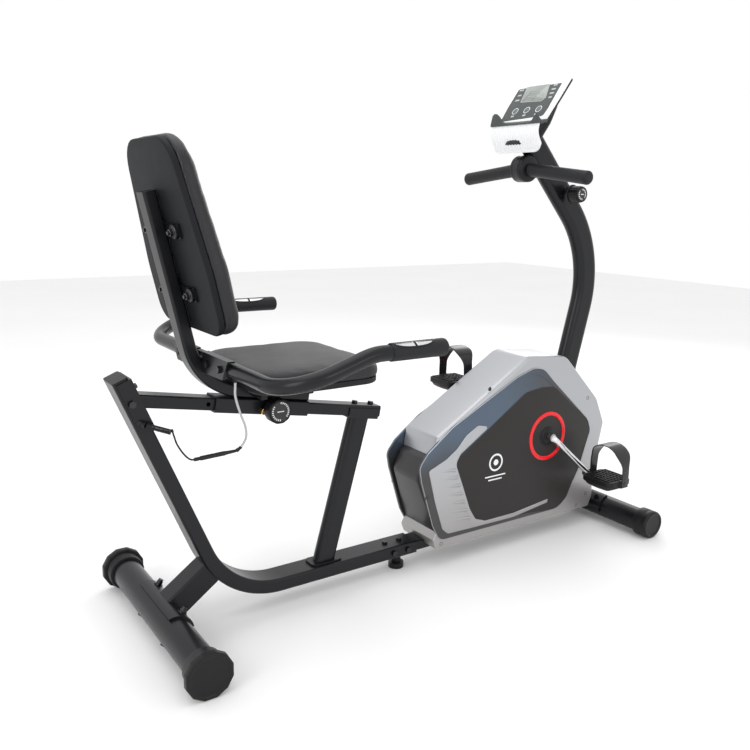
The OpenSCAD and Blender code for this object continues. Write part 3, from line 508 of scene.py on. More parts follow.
_MADE: dict[str, bpy.types.Material] = {}


def finish_of(choice: Finish | PrintedDial) -> bpy.types.Material:
    """Material of a finish, made once."""
    maker = choice.value if isinstance(choice, Finish) else choice
    if maker.name not in _MADE:
        _MADE[maker.name] = maker.make()
    return _MADE[maker.name]


# ---------------------------------------------------------------- modelling


CRISP = 32.0  # degrees: sharper edges of turned pieces stay crisp


def deselect() -> None:
    """Leaves object mode with nothing selected."""
    if bpy.context.object and bpy.context.object.mode != "OBJECT":
        bpy.ops.object.mode_set(mode="OBJECT")
    bpy.ops.object.select_all(action="DESELECT")


def activate(piece: bpy.types.Object) -> None:
    """Makes a piece the only selected and active one."""
    deselect()
    piece.select_set(True)
    bpy.context.view_layer.objects.active = piece


def settle(piece: bpy.types.Object) -> bpy.types.Object:
    """Puts a piece's place into its mesh, so its object sits at the origin."""
    activate(piece)
    bpy.ops.object.transform_apply(location=True, rotation=True, scale=True)
    return piece


def apply_modifier(piece: bpy.types.Object, kind: str, **settings: Any) -> bpy.types.Object:
    """Adds one modifier, sets it up and applies it."""
    activate(piece)
    modifier = piece.modifiers.new(kind.lower(), kind)
    for key, value in settings.items():
        setattr(modifier, key, value)
    bpy.ops.object.modifier_apply(modifier=modifier.name)
    return piece


def smooth(piece: bpy.types.Object, angle: float = 38.0) -> bpy.types.Object:
    """Shades a piece smooth except across edges sharper than an angle."""
    activate(piece)
    bpy.ops.object.shade_smooth_by_angle(angle=math.radians(angle), keep_sharp_edges=False)
    return piece


def soften(piece: bpy.types.Object, width: float, segments: int = 3, angle: float = 35.0) -> bpy.types.Object:
    """Rounds a piece's sharp edges by a width in metres and shades it smooth."""
    apply_modifier(
        piece, "BEVEL", width=width, segments=segments, limit_method="ANGLE", angle_limit=math.radians(angle)
    )
    return smooth(piece)


def outward(piece: bpy.types.Object) -> bpy.types.Object:
    """Merges doubles, points every face out and leaves edit mode."""
    activate(piece)
    bpy.ops.object.mode_set(mode="EDIT")
    bpy.ops.mesh.select_all(action="SELECT")
    bpy.ops.mesh.remove_doubles(threshold=1e-6)
    bpy.ops.mesh.normals_make_consistent(inside=False)
    bpy.ops.object.mode_set(mode="OBJECT")
    return piece


def outline(name: str, points: Sequence[Vector], filled: bool = True) -> bpy.types.Object:
    """Adds a closed outline and leaves it selected in edit mode.

    Args:
        name: the piece's name.
        points: the outline's corners, in order.
        filled: whether it is one face or only its edges.

    Returns:
        The piece.
    """
    deselect()
    bpy.ops.mesh.primitive_circle_add(
        vertices=len(points), radius=0.01, fill_type="NGON" if filled else "NOTHING", enter_editmode=True
    )
    piece = bpy.context.object
    piece.name = piece.data.name = name
    mesh = bmesh.from_edit_mesh(piece.data)
    mesh.verts.ensure_lookup_table()
    for vertex, point in zip(mesh.verts, points):
        vertex.co = point
    bmesh.update_edit_mesh(piece.data)
    return piece


def pull(step: Vector) -> None:
    """Extrudes what is selected along a step."""
    bpy.ops.mesh.extrude_region_move(TRANSFORM_OT_translate={"value": tuple(step)})


def loft(name: str, rings: Sequence[Sequence[Vector]]) -> bpy.types.Object:
    """Extrudes a ring from station to station, each ring with the same number of points.

    Args:
        name: the piece's name.
        rings: the points of each station, in order.

    Returns:
        The piece, shaded smooth.
    """
    piece = outline(name, rings[0])
    mesh = bmesh.from_edit_mesh(piece.data)
    order = mesh.verts.layers.int.new("order")
    mesh.verts.ensure_lookup_table()
    for index in range(len(rings[0])):
        mesh.verts[index][order] = index
    for ring in rings[1:]:
        pull(Vector((0, 0, 0)))
        mesh = bmesh.from_edit_mesh(piece.data)
        order = mesh.verts.layers.int["order"]
        for vertex in mesh.verts:
            if vertex.select:
                vertex.co = ring[vertex[order]]
        bmesh.update_edit_mesh(piece.data)
    bpy.ops.object.mode_set(mode="OBJECT")
    piece.data.attributes.remove(piece.data.attributes["order"])
    outward(piece)
    return smooth(piece)


def circle_points(centre: Vector, axis: Vector, radius: float, count: int) -> list[Vector]:
    """Points of a circle round an axis."""
    turn = axis.to_track_quat("Z", "Y")
    angles = [2 * math.pi * k / count for k in range(count)]
    return [centre + turn @ Vector((radius * math.cos(a), radius * math.sin(a), 0)) for a in angles]


def turned(
    name: str, base: Vector, axis: Vector, steps: Sequence[Point2], sides: int = 48, angle: float = CRISP
) -> bpy.types.Object:
    """Turned solid: a disc that is extruded and resized from step to step.

    Args:
        name: the piece's name.
        base: the point that the steps are measured from.
        axis: unit direction of the turning axis.
        steps: (distance along the axis, radius) pairs in millimetres.
        sides: points round the circle.
        angle: edges sharper than this stay crisp.

    Returns:
        The piece.
    """
    first = steps[0]
    piece = outline(name, circle_points(base + axis * first[0] * MM, axis, first[1] * MM, sides))
    for (low, before), (high, after) in zip(steps, steps[1:]):
        pull(axis * (high - low) * MM)
        if abs(after - before) > 1e-6:
            centre = base + axis * high * MM
            bpy.ops.transform.resize(value=(after / before,) * 3, center_override=tuple(centre))
    outward(piece)
    return smooth(piece, angle)


def spun(
    name: str, base: Vector, axis: Vector, section: Sequence[Point2], sides: int = 64
) -> bpy.types.Object:
    """Ring made by spinning a closed section of (along, radius) millimetres round an axis."""
    side = (axis.to_track_quat("Z", "Y")) @ Vector((1, 0, 0))
    piece = outline(name, [base + axis * a * MM + side * r * MM for a, r in section], filled=False)
    bpy.ops.mesh.spin(steps=sides, angle=2 * math.pi, center=tuple(base), axis=tuple(axis))
    outward(piece)
    return smooth(piece, CRISP)


def block(name: str, centre: Vector, size: Point3, edge: float) -> bpy.types.Object:
    """Box of a size in millimetres, with edges rounded by a width in metres."""
    deselect()
    bpy.ops.mesh.primitive_cube_add(size=1, location=tuple(centre))
    piece = bpy.context.object
    piece.name = piece.data.name = name
    piece.scale = [s * MM for s in size]
    settle(piece)
    return soften(piece, edge, 3)


def frames(path: Sequence[Vector], up: Vector) -> list[tuple[Vector, Vector, Vector]]:
    """Point, side and lift directions along a path, carried without twist."""
    made = []
    lift = up
    for index, point in enumerate(path):
        ahead = path[min(index + 1, len(path) - 1)] - path[max(index - 1, 0)]
        ahead.normalize()
        side = ahead.cross(lift).normalized()
        lift = side.cross(ahead).normalized()
        made.append((point, side, lift))
    return made


def swept(
    name: str,
    path: Sequence[Vector],
    section: Callable[[float], Sequence[Point2]],
    up: Vector,
) -> bpy.types.Object:
    """Extrudes a section along a path.

    Args:
        name: the piece's name.
        path: points in metres.
        section: gives the (side, lift) points in millimetres at a share from 0 to 1 of the path's points.
        up: lift direction at the start.

    Returns:
        The piece.
    """
    rings = []
    last = max(1, len(path) - 1)
    for index, (point, side, lift) in enumerate(frames(path, up)):
        rings.append([point + side * a * MM + lift * b * MM for a, b in section(index / last)])
    return loft(name, rings)


def oval(width: float, height: float, count: int = 20) -> list[Point2]:
    """Points of an oval of a half width and half height."""
    return [
        (width * math.cos(2 * math.pi * k / count), height * math.sin(2 * math.pi * k / count))
        for k in range(count)
    ]


def superoval(width: float, height: float, power: float, count: int = 24) -> list[Point2]:
    """Points of a rounded oblong: the higher the power, the squarer."""
    made = []
    for k in range(count):
        c, s = math.cos(2 * math.pi * (k + 0.5) / count), math.sin(2 * math.pi * (k + 0.5) / count)
        made.append(
            (
                width * math.copysign(abs(c) ** (2 / power), c),
                height * math.copysign(abs(s) ** (2 / power), s),
            )
        )
    return made


def rounded(corners: Sequence[Sequence[float]], steps: int = 6) -> list[Point2]:
    """Closed outline with rounded corners.

    Args:
        corners: (a, b, radius) of each corner.
        steps: points on each rounding, less one.

    Returns:
        The points.
    """
    made: list[Point2] = []
    count = len(corners)
    for index, (a, b, radius) in enumerate(corners):
        here = Vector((a, b))
        before = Vector(corners[index - 1][:2]) - here
        after = Vector(corners[(index + 1) % count][:2]) - here
        half = before.angle(after) / 2
        reach = min(radius / math.tan(half), before.length * 0.49, after.length * 0.49)
        turn = reach * math.tan(half)
        middle = here + (before.normalized() + after.normalized()).normalized() * (turn / math.sin(half))
        start = here + before.normalized() * reach - middle
        end = here + after.normalized() * reach - middle
        sweep = start.angle_signed(end)
        for k in range(steps + 1):
            angle = -sweep * k / steps
            c, s = math.cos(angle), math.sin(angle)
            made.append((middle.x + start.x * c - start.y * s, middle.y + start.x * s + start.y * c))
    return made


def curve_through(points: Sequence[Sequence[float]], per: int) -> list[Vector]:
    """Smooth curve through points of any dimension, with per steps between neighbours."""
    last = len(points) - 1
    made: list[Vector] = []
    for index in range(last):
        p = [Vector(points[min(max(index + k, 0), last)]) for k in (-1, 0, 1, 2)]
        straight = p[2] - p[0]
        bend = 2 * p[0] - 5 * p[1] + 4 * p[2] - p[3]
        twist = 3 * p[1] - p[0] - 3 * p[2] + p[3]
        for k in range(per):
            t = k / per
            made.append(0.5 * (2 * p[1] + straight * t + bend * t * t + twist * t**3))
    made.append(Vector(points[-1]))
    return made


def inset_outline(points: Sequence[Point2], amounts: Sequence[float]) -> list[Point2]:
    """Moves each point of a closed outline inwards by its own amount."""
    count = len(points)
    area = sum(points[k - 1][0] * points[k][1] - points[k][0] * points[k - 1][1] for k in range(count))
    inward = 1.0 if area > 0 else -1.0
    made = []
    for index in range(count):
        here = Vector(points[index])
        a = (here - Vector(points[index - 1])).normalized()
        b = (Vector(points[(index + 1) % count]) - here).normalized()
        normal = Vector((-(a.y + b.y), a.x + b.x))
        if normal.length < 1e-6:
            normal = Vector((-a.y, a.x))
        normal.normalize()
        spread = max(0.45, math.sqrt(max(0.0, (1 + a.dot(b)) / 2)))
        made.append(tuple(here + normal * inward * amounts[index] / spread))
    return made


def pillow(
    name: str,
    points: Sequence[Point2],
    near: float,
    far: float,
    radius: float | Callable[[float, float], float],
    place: Callable[[float, float, float], Vector],
    both: bool = True,
    steps: int = 5,
) -> bpy.types.Object:
    """Slab between two levels whose outline is rounded over to its faces.

    Args:
        name: the piece's name.
        points: the outline in millimetres.
        near: level of the rounded face.
        far: level of the other face.
        radius: rounding, or a function that gives it at a point of the outline.
        place: turns (a, b, level) into a point in metres.
        both: whether the far face is rounded as well.
        steps: faces across the rounding.

    Returns:
        The piece.
    """
    sign = 1.0 if far > near else -1.0
    radii = [radius(a, b) if callable(radius) else radius for a, b in points]

    def station(share: float, level: float, direction: float) -> list[Vector]:
        """Ring at a share of the rounding from one face."""
        angle = share * math.pi / 2
        flat = inset_outline(points, [r * (1 - math.sin(angle)) for r in radii])
        return [
            place(a, b, level + direction * r * (1 - math.cos(angle))) for (a, b), r in zip(flat, radii)
        ]

    rings = [station(k / steps, near, sign) for k in range(steps + 1)]
    if both:
        rings += [station(1 - k / steps, far, -sign) for k in range(steps + 1)]
    else:
        rings.append([place(a, b, far) for a, b in points])
    return loft(name, rings)


def copy_of(piece: bpy.types.Object, name: str, change: Matrix) -> bpy.types.Object:
    """Copies a piece with its own mesh, moved, turned or mirrored by a matrix."""
    twin = piece.copy()
    twin.data = piece.data.copy()
    twin.name = twin.data.name = name
    bpy.context.scene.collection.objects.link(twin)
    twin.data.transform(change)
    if change.determinant() < 0:
        twin.data.flip_normals()
    return twin


def joined(name: str, pieces: Sequence[bpy.types.Object]) -> bpy.types.Object:
    """Joins pieces into one."""
    deselect()
    for piece in pieces:
        piece.select_set(True)
    bpy.context.view_layer.objects.active = pieces[0]
    bpy.ops.object.join()
    pieces[0].name = pieces[0].data.name = name
    return pieces[0]


MIRROR = Matrix.Scale(-1, 4, Vector((0, 1, 0)))
Y_AXIS = Vector((0, 1, 0))
RIGHT = Vector((0, -1, 0))
UP = Vector((0, 0, 1))


def fluted(knob: bpy.types.Object, centre: Vector, rim: float, count: int, depth: float, sharp: int) -> None:
    """Presses shallow finger flutes into the rim of a knob that turns about Y.

    Args:
        knob: the piece.
        centre: a point on its axis.
        rim: radius beyond which it is pressed, in metres.
        count: number of flutes.
        depth: depth of a flute, in metres.
        sharp: how narrow the flutes are.
    """
    for vertex in knob.data.vertices:
        reach = Vector((vertex.co.x - centre.x, 0, vertex.co.z - centre.z))
        if reach.length > rim:
            turn = math.atan2(reach.z, reach.x)
            vertex.co -= reach.normalized() * depth * (0.5 + 0.5 * math.cos(turn * count)) ** sharp
    knob.data.update()


def about(point: Vector, axis: Vector, degrees: float) -> Matrix:
    """Turn about an axis through a point."""
    turn = Matrix.Rotation(math.radians(degrees), 4, axis)
    return Matrix.Translation(point) @ turn @ Matrix.Translation(-point)


STUFFING_FRAMES = 20


def inflate(piece: bpy.types.Object, voxel: float, pressure: float, cap: float) -> bpy.types.Object:
    """Swells a closed shape like stuffed upholstery and applies the result.

    Args:
        piece: the shape, a little smaller than the finished pad.
        voxel: grain of the remeshing, in metres.
        pressure: pressure of the stuffing.
        cap: furthest that any point may move, in metres.

    Returns:
        The piece, subdivided once.
    """
    apply_modifier(piece, "REMESH", mode="VOXEL", voxel_size=voxel, use_smooth_shade=True)
    rest = [v.co.copy() for v in piece.data.vertices]
    activate(piece)
    cloth = piece.modifiers.new("stuffing", "CLOTH")
    cloth.settings.quality = 5
    cloth.settings.use_pressure = True
    cloth.settings.uniform_pressure_force = pressure
    cloth.settings.tension_stiffness = 20
    cloth.settings.compression_stiffness = 20
    cloth.settings.bending_stiffness = 1.5
    cloth.settings.effector_weights.gravity = 0
    cloth.collision_settings.use_collision = False
    cloth.point_cache.frame_start, cloth.point_cache.frame_end = 1, STUFFING_FRAMES
    for step in range(1, STUFFING_FRAMES + 1):
        bpy.context.scene.frame_set(step)
    shape = piece.evaluated_get(bpy.context.evaluated_depsgraph_get()).data
    moved = [v.co.copy() for v in shape.vertices]
    piece.modifiers.remove(cloth)
    bpy.context.scene.frame_set(1)
    for vertex, start, end in zip(piece.data.vertices, rest, moved):
        step_out = end - start
        vertex.co = start + step_out * min(1.0, cap / max(step_out.length, 1e-9))
    apply_modifier(piece, "SMOOTH", factor=0.6, iterations=4)
    apply_modifier(piece, "SUBSURF", levels=1, render_levels=1)
    activate(piece)
    bpy.ops.object.shade_smooth()
    return piece


# ---------------------------------------------------------------- assemblies


@dataclass
class Assembly:
    """Group of pieces that are made, dressed and logged together."""

    def add(
        self, piece: bpy.types.Object, finish: Finish | PrintedDial, body: str, slot: str, *nodes: str
    ) -> bpy.types.Object:
        """Dresses a piece, lets it ride on a body and hides the CAD nodes that it replaces.

        Args:
            piece: the finished piece.
            finish: its material.
            body: the body that it moves with.
            slot: a material slot's name; not used.
            nodes: the CAD nodes that it replaces.

        Returns:
            The piece.
        """
        piece.data.materials.clear()
        piece.data.materials.append(finish_of(finish))
        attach(piece, body)
        if nodes:
            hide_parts(*nodes)
        count = len(piece.data.polygons) if piece.type == "MESH" else 0
        LOG.info("%-26s %-16s %6d faces", piece.name, body, count)
        return piece

    def paint(self, finish: Finish, *nodes: str) -> None:
        """Gives CAD nodes a finish in place of their plain one."""
        for node in nodes:
            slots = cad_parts[node].data.materials
            slots.clear()
            slots.append(finish_of(finish))


@dataclass
class Studio:
    """Camera, soft lights and pale floor."""

    place: Point3 = (-1.0628, -1.4039, 0.8527)
    azimuth: float = -34.55
    elevation: float = 12.54
    roll: float = 1.2
    lens: float = 38.03

    def camera(self) -> None:
        """Adds the camera."""
        a, e, r = map(math.radians, (self.azimuth, self.elevation, self.roll))
        back = Vector((math.sin(a) * math.cos(e), -math.cos(a) * math.cos(e), math.sin(e)))
        right = Vector((math.cos(a), math.sin(a), 0))
        lift = back.cross(right)
        side = right * math.cos(r) + lift * math.sin(r)
        top = lift * math.cos(r) - right * math.sin(r)
        data = bpy.data.cameras.new("studio_camera")
        data.lens = self.lens
        data.sensor_width = 36.0
        made = bpy.data.objects.new("studio_camera", data)
        turn = Matrix((side, top, back)).transposed().to_4x4()
        made.matrix_world = Matrix.Translation(Vector(self.place)) @ turn
        bpy.context.scene.collection.objects.link(made)
        bpy.context.scene.camera = made

    def lamp(self, name: str, place: Point3, target: Point3, size: Point2, power: float) -> None:
        """Adds one soft area lamp that points at a target."""
        data = bpy.data.lights.new(name, "AREA")
        data.shape = "RECTANGLE"
        data.size, data.size_y = size
        data.energy = power
        made = bpy.data.objects.new(name, data)
        made.location = place
        made.rotation_euler = (Vector(target) - Vector(place)).to_track_quat("-Z", "Y").to_euler()
        bpy.context.scene.collection.objects.link(made)

    def build(self) -> None:
        """Adds the lights, the floor and the world."""
        self.lamp("overhead_soft", (-0.3, 0.2, 3.2), (0.0, 0.0, 0.3), (3.2, 2.4), 30)
        self.lamp("left_soft", (-3.0, -1.2, 1.7), (0.0, 0.0, 0.5), (1.4, 1.8), 24)
        self.lamp("front_soft", (0.4, -3.4, 1.3), (0.1, 0.0, 0.4), (1.6, 0.8), 12)
        self.lamp("rim_soft", (2.6, 1.8, 1.9), (0.0, 0.0, 0.5), (1.4, 1.6), 16)
        deselect()
        bpy.ops.mesh.primitive_plane_add(size=14, location=(0, 0, 0))
        floor = bpy.context.object
        floor.name = "studio_floor"
        graph = Graph("floor_pale")
        shade = graph.noise(1.3, 2.0, 0.5)
        floor.data.materials.append(
            graph.finish(
                Base_Color=graph.blend(shade, (0.86, 0.86, 0.86), (0.90, 0.90, 0.90)), Roughness=0.75,
                Specular_IOR_Level=0.1
            )
        )
        world = bpy.data.worlds.new("studio_white")
        bpy.context.scene.world = world
        world.use_nodes = True
        world.node_tree.nodes["Background"].inputs[0].default_value = (1, 1, 1, 1)
        world.node_tree.nodes["Background"].inputs[1].default_value = 1.0
        bpy.context.scene.view_settings.view_transform = "Standard"


@dataclass
class PulseLead(Assembly):
    """Coiled black cord from the upright, its in-line connector and the sheathed lead to the seat bar."""

    coil_from: Point3 = (-27, -44, 446)
    coil_to: Point3 = (15, -55, 430)
    coil_radius: float = 4.4
    turns: float = 20.25
    tail: tuple[Point3, ...] = ((20, -57, 420), (24, -59, 406), (34, -62, 388), (44, -64, 377),
                                (53, -65, 374))
    connector_end: Point3 = (134, -75, 381)
    upper: tuple[Point3, ...] = (
        (134, -75, 381), (143, -79, 390), (147, -90, 410), (141, -100, 434), (127, -110, 463),
        (113, -121, 498), (109.6, -128, 520), (109.6, -130, 531.5),
    )

    @staticmethod
    def cable(name: str, points: Sequence[Vector], radius: float) -> bpy.types.Object:
        """Curve of one open spline with a round section."""
        data = bpy.data.curves.new(name, "CURVE")
        data.dimensions = "3D"
        data.bevel_depth = radius
        data.bevel_resolution = 3
        data.use_fill_caps = True
        spline = data.splines.new("POLY")
        spline.points.add(len(points) - 1)
        for knot, point in zip(spline.points, points):
            knot.co = (*point, 1)
        made = bpy.data.objects.new(name, data)
        bpy.context.scene.collection.objects.link(made)
        return made

    @staticmethod
    def length(points: Sequence[Vector]) -> float:
        """Length of a run of points."""
        return sum((b - a).length for a, b in zip(points, points[1:]))

    def coil_points(self) -> list[Vector]:
        """Wire of the coil, from the socket to its last turn."""
        start, end = at(*self.coil_from), at(*self.coil_to)
        axis = (end - start).normalized()
        turn = axis.to_track_quat("Z", "Y")
        steps = int(self.turns * 16)
        made = []
        for k in range(steps + 1):
            angle = 2 * math.pi * self.turns * k / steps
            reach = self.coil_radius * MM
            out = turn @ Vector((reach * math.cos(angle), reach * math.sin(angle), 0))
            made.append(start.lerp(end, k / steps) + out)
        return made

    def build(self) -> None:
        """Models the three cords and their fittings."""
        coil = self.coil_points()
        coil_cord = self.cable("pulse_coil", coil, 1.0 * MM)
        inside = [at(*self.tail[-1]).lerp(at(*self.connector_end), k / 5) for k in range(1, 6)]
        loose = [coil[-1], *[at(*p) for p in self.tail], *inside]
        tail = curve_through(loose, 6)
        tail_cord = self.cable("pulse_tail", tail, 1.7 * MM)
        upper = curve_through([at(*p) for p in self.upper], 6)[::-1]
        upper_cord = self.cable("pulse_sheathed_lead", upper, 2.2 * MM)
        near, far = at(*self.tail[-1]), at(*self.connector_end)
        axis = (far - near).normalized()
        reach = (far - near).length / MM
        connector = turned(
            "pulse_connector", near, axis,
            [(-1, 1.9), (0, 3.0), (2, 3.6), (9, 3.6), (9.6, 3.1), (11, 3.1), (11.6, 4.2), (13, 4.4),
             (reach * 0.45, 4.4), (reach * 0.46, 4.0), (reach * 0.475, 4.0), (reach * 0.485, 4.4),
             (reach - 24, 4.4), (reach - 20, 3.7), (reach - 6, 3.1), (reach, 2.6), (reach + 1, 2.3)], 28, 24)
        boot_axis = (upper[-2] - upper[-1]).normalized()
        boot = turned("pulse_boot", upper[-1] - boot_axis * 0.001, boot_axis,
                      [(0, 3.2), (1, 3.7), (6, 3.5), (6.6, 2.9), (8, 2.9), (8.6, 3.3), (11, 3.1), (13, 2.5)],
                      24, 24)
        socket_at = at(-33, -33.2, 448)
        out = (at(*self.coil_from) - socket_at).normalized()
        socket = turned(
            "pulse_socket", socket_at, out,
            [(-4, 7.0), (0, 7.0), (1.2, 6.6), (2.4, 5.2), (5, 5.0), (6, 5.6), (11.5, 5.6), (12.2, 5.2)], 32,
            24)
        grommet = turned(
            "pulse_grommet", at(109.6, -130, 533.4), -UP, [(0, 5.6), (1.2, 5.6), (2.0, 4.9), (2.6, 3.4),
                                                           (5.5, 2.9), (6, 2.4)],
            28, 24)
        turn_off = (tail[1] - tail[0]).normalized()
        ferrule = turned("pulse_ferrule", tail[0] - turn_off * 0.0015, turn_off,
                         [(0, 1.4), (0.5, 2.3), (4.6, 2.4), (5.4, 2.1), (5.8, 1.7)], 24, 24)
        self.add(ferrule, Finish.COIL, "frame", "strap_rubber")
        self.add(coil_cord, Finish.COIL, "frame", "strap_rubber", "coil_cord")
        self.add(tail_cord, Finish.COIL, "frame", "strap_rubber", "lead_cord")
        self.add(upper_cord, Finish.SHEATH, "frame", "lead_grey", "lead_cord")
        self.add(connector, Finish.COIL, "frame", "black_plastic", "cord_plugs")
        self.add(boot, Finish.COIL, "frame", "black_plastic", "cord_plugs")
        self.add(socket, Finish.PLASTIC, "frame", "black_plastic", "cord_plugs")
        self.add(grommet, Finish.RUBBER, "seat_carriage", "strap_rubber")
        round(self.length(coil), 4)
        round(self.length(tail), 4)
        round(self.length(upper), 4)


BACK_TILT = math.radians(13)
BACK_X = Vector((math.cos(BACK_TILT), 0, math.sin(BACK_TILT)))
BACK_Z = Vector((-math.sin(BACK_TILT), 0, math.cos(BACK_TILT)))


def on_back(x: float, y: float, z: float) -> Vector:
    """Point in the leaning frame of the back post, in millimetres from its top."""
    return at(5.45, 0, 855) + (BACK_X * x + BACK_Z * z + Y_AXIS * y) * MM


@dataclass
class BackRest(Assembly):
    """Padded backrest on its black board, with the bumpers that hold it to the post."""

    rear: float = 26.5
    depth: float = 34.0
    bumper_heights: Point2 = (-69.0, -183.0)
    corners: tuple[Point3, ...] = (
        (154, -262, 46), (155.5, -142, 160), (115, 97, 68), (-115, 97, 68), (-155.5, -142, 160),
        (-154, -262, 46),
    )

    def build(self) -> None:
        """Models the pad, the board and the bumpers."""
        edge = rounded(self.corners, 7)
        rings: list[list[Vector]] = []
        for x, amount in ((0.4, 7.0), (0.0, 3.2), (1.8, 0.9), (6.0, -0.6), (13.0, -1.0), (20.0, -0.6),
                          (25.5, 1.6), (29.5, 5.0), (31.8, 10.0)):
            ring = inset_outline(edge, [amount + 1.6] * len(edge))
            rings.append([on_back(self.rear + x * self.thin(z), y, z) for y, z in ring])
        for share, rise in ((0.86, 1.0), (0.66, 2.4), (0.42, 3.2), (0.2, 3.6)):
            ring = [(y * share, (z + 80) * share - 80) for y, z in inset_outline(edge, [11.6] * len(edge))]
            rings.append([on_back(self.rear + (31.8 + rise) * self.thin(z) - 1.5, y, z) for y, z in ring])
        pad = inflate(loft("backrest_pad", rings), 0.0045, 4.0, 0.004)
        self.crease(pad)
        board = pillow("backrest_board", inset_outline(edge, [6.0] * len(edge)), 17.0, 27.0, 3.5,
                       lambda y, z, x: on_back(x, y, z), both=False)
        self.add(pad, Finish.LEATHER, "seat_carriage", "black_leather", "back_cushion")
        self.add(board, Finish.BACKING, "seat_carriage", "black_plastic", "back_board")
        for index, z in enumerate(self.bumper_heights):
            for side in (-1, 1):
                bumper = turned(
                    f"backrest_bumper_{index}_{'right' if side < 0 else 'left'}",
                    on_back(12.7, side * 62.0, z), -BACK_X,
                    [(0, 12.8), (0.8, 13.4), (4.6, 13.4), (6.2, 12.2), (6.6, 9.2), (7.0, 9.0), (7.4, 8.6)],
                    36, 24)
                nut = turned(
                    "bumper_nut", on_back(5.6, side * 62.0, z), -BACK_X,
                    [(0, 7.4), (4.6, 7.4), (5.4, 6.8), (5.5, 4.0), (8.4, 4.0), (9.0, 3.5)], 6, 24)
                self.add(joined(bumper.name, [bumper, nut]), Finish.BLACKED, "seat_carriage", "steel")

    def thin(self, z: float) -> float:
        """Share of the full depth at a height: the pad is thinner near the top."""
        return 1.0 - 0.22 * max(0.0, min(1.0, (z + 60) / 156)) ** 1.3

    def crease(self, pad: bpy.types.Object) -> None:
        """Presses long stretch folds into the pad's side band."""
        origin = on_back(0, 0, 0)
        normals = [v.normal.copy() for v in pad.data.vertices]
        for vertex, normal in zip(pad.data.vertices, normals):
            local = (vertex.co - origin) / MM
            x, z = local.dot(BACK_X), local.dot(BACK_Z)
            facing = 1.0 - min(1.0, abs(normal.dot(BACK_X)) * 1.7)
            if facing <= 0:
                continue
            share = (x - self.rear) / (self.depth * self.thin(z))
            along = z / 100.0 + 0.35 * math.sin(vertex.co.y * 9.0)
            wander = 0.10 * math.sin(along * 2.3) + 0.05 * math.sin(along * 6.1 + 1.0)
            phase = (share + wander) * 4.6 * math.pi
            groove = (1.0 - abs(math.sin(phase / 2))) ** 2.6
            alive = 0.35 + 0.65 * max(0.0, min(1.0, (z + 235) / 130))
            patch = 0.65 + 0.35 * math.sin(along * 3.7 + math.floor(phase / math.pi) * 1.9)
            vertex.co -= normal * (1.25 * MM * groove * facing * alive * patch)
        pad.data.update()


@dataclass
class SeatPad(Assembly):
    """Saddle cushion on its pan."""

    low: float = 506.0
    corners: tuple[Point3, ...] = (
        (145, -153, 62), (290, -156, 600), (430, -153, 52), (433, 0, 700), (430, 153, 52), (290, 156, 600),
        (145, 153, 62), (143, 0, 700),
    )

    def build(self) -> None:
        """Models the cushion, the pan and its two feet."""
        edge = rounded(self.corners, 7)
        rings: list[list[Vector]] = []
        for level, amount in ((0.5, 8.0), (0.0, 4.0), (1.6, 2.2), (6.0, 0.6), (13.0, 0.0), (20.0, 0.8),
                              (25.6, 3.6), (29.0, 8.5)):
            ring = inset_outline(edge, [amount + 1.2] * len(edge))
            rings.append([at(x, y, self.low + level) for x, y in ring])
        inner = inset_outline(edge, [9.7] * len(edge))
        for share, rise in ((0.9, 30.4), (0.72, 31.8), (0.5, 32.8), (0.25, 33.2)):
            rings.append([at((x - 288) * share + 288, y * share, self.low + rise) for x, y in inner])
        pad = inflate(loft("seat_pad", rings), 0.005, 4.0, 0.003)
        self.pucker(pad)
        self.add(pad, Finish.LEATHER, "seat_carriage", "black_leather", "seat_cushion")
        pan = pillow("seat_pan_moulding", inset_outline(edge, [7.0] * len(edge)), 495.6, 507.5, 4.5,
                     at, both=False)
        feet = [block(f"seat_foot_{x}", at(x, 0, 484), (13, 142, 26), 0.0015) for x in (196, 298)]
        self.add(joined("seat_pan_moulding", [pan, *feet]), Finish.PLASTIC, "seat_carriage", "black_plastic",
                 "seat_pan")

    def pucker(self, pad: bpy.types.Object) -> None:
        """Presses a sewn seam under the crown and fine puckers into the side band."""
        for vertex in pad.data.vertices:
            x, y, z = vertex.co.x / MM + MIDDLE, vertex.co.y / MM, vertex.co.z / MM - self.low
            turn = math.atan2(y, x - 288)
            seam = math.exp(-(((z - 24.4) / 1.1) ** 2))
            band = max(0.0, 1 - abs(z - 10) / 14)
            fold = band * (0.5 + 0.5 * math.sin(turn * 46 + math.sin(turn * 7) * 2)) ** 3
            side = 1.0 - min(1.0, abs(vertex.normal.z) * 1.4)
            vertex.co -= vertex.normal * MM * side * (0.9 * seam + 0.35 * fold)
        pad.data.update()


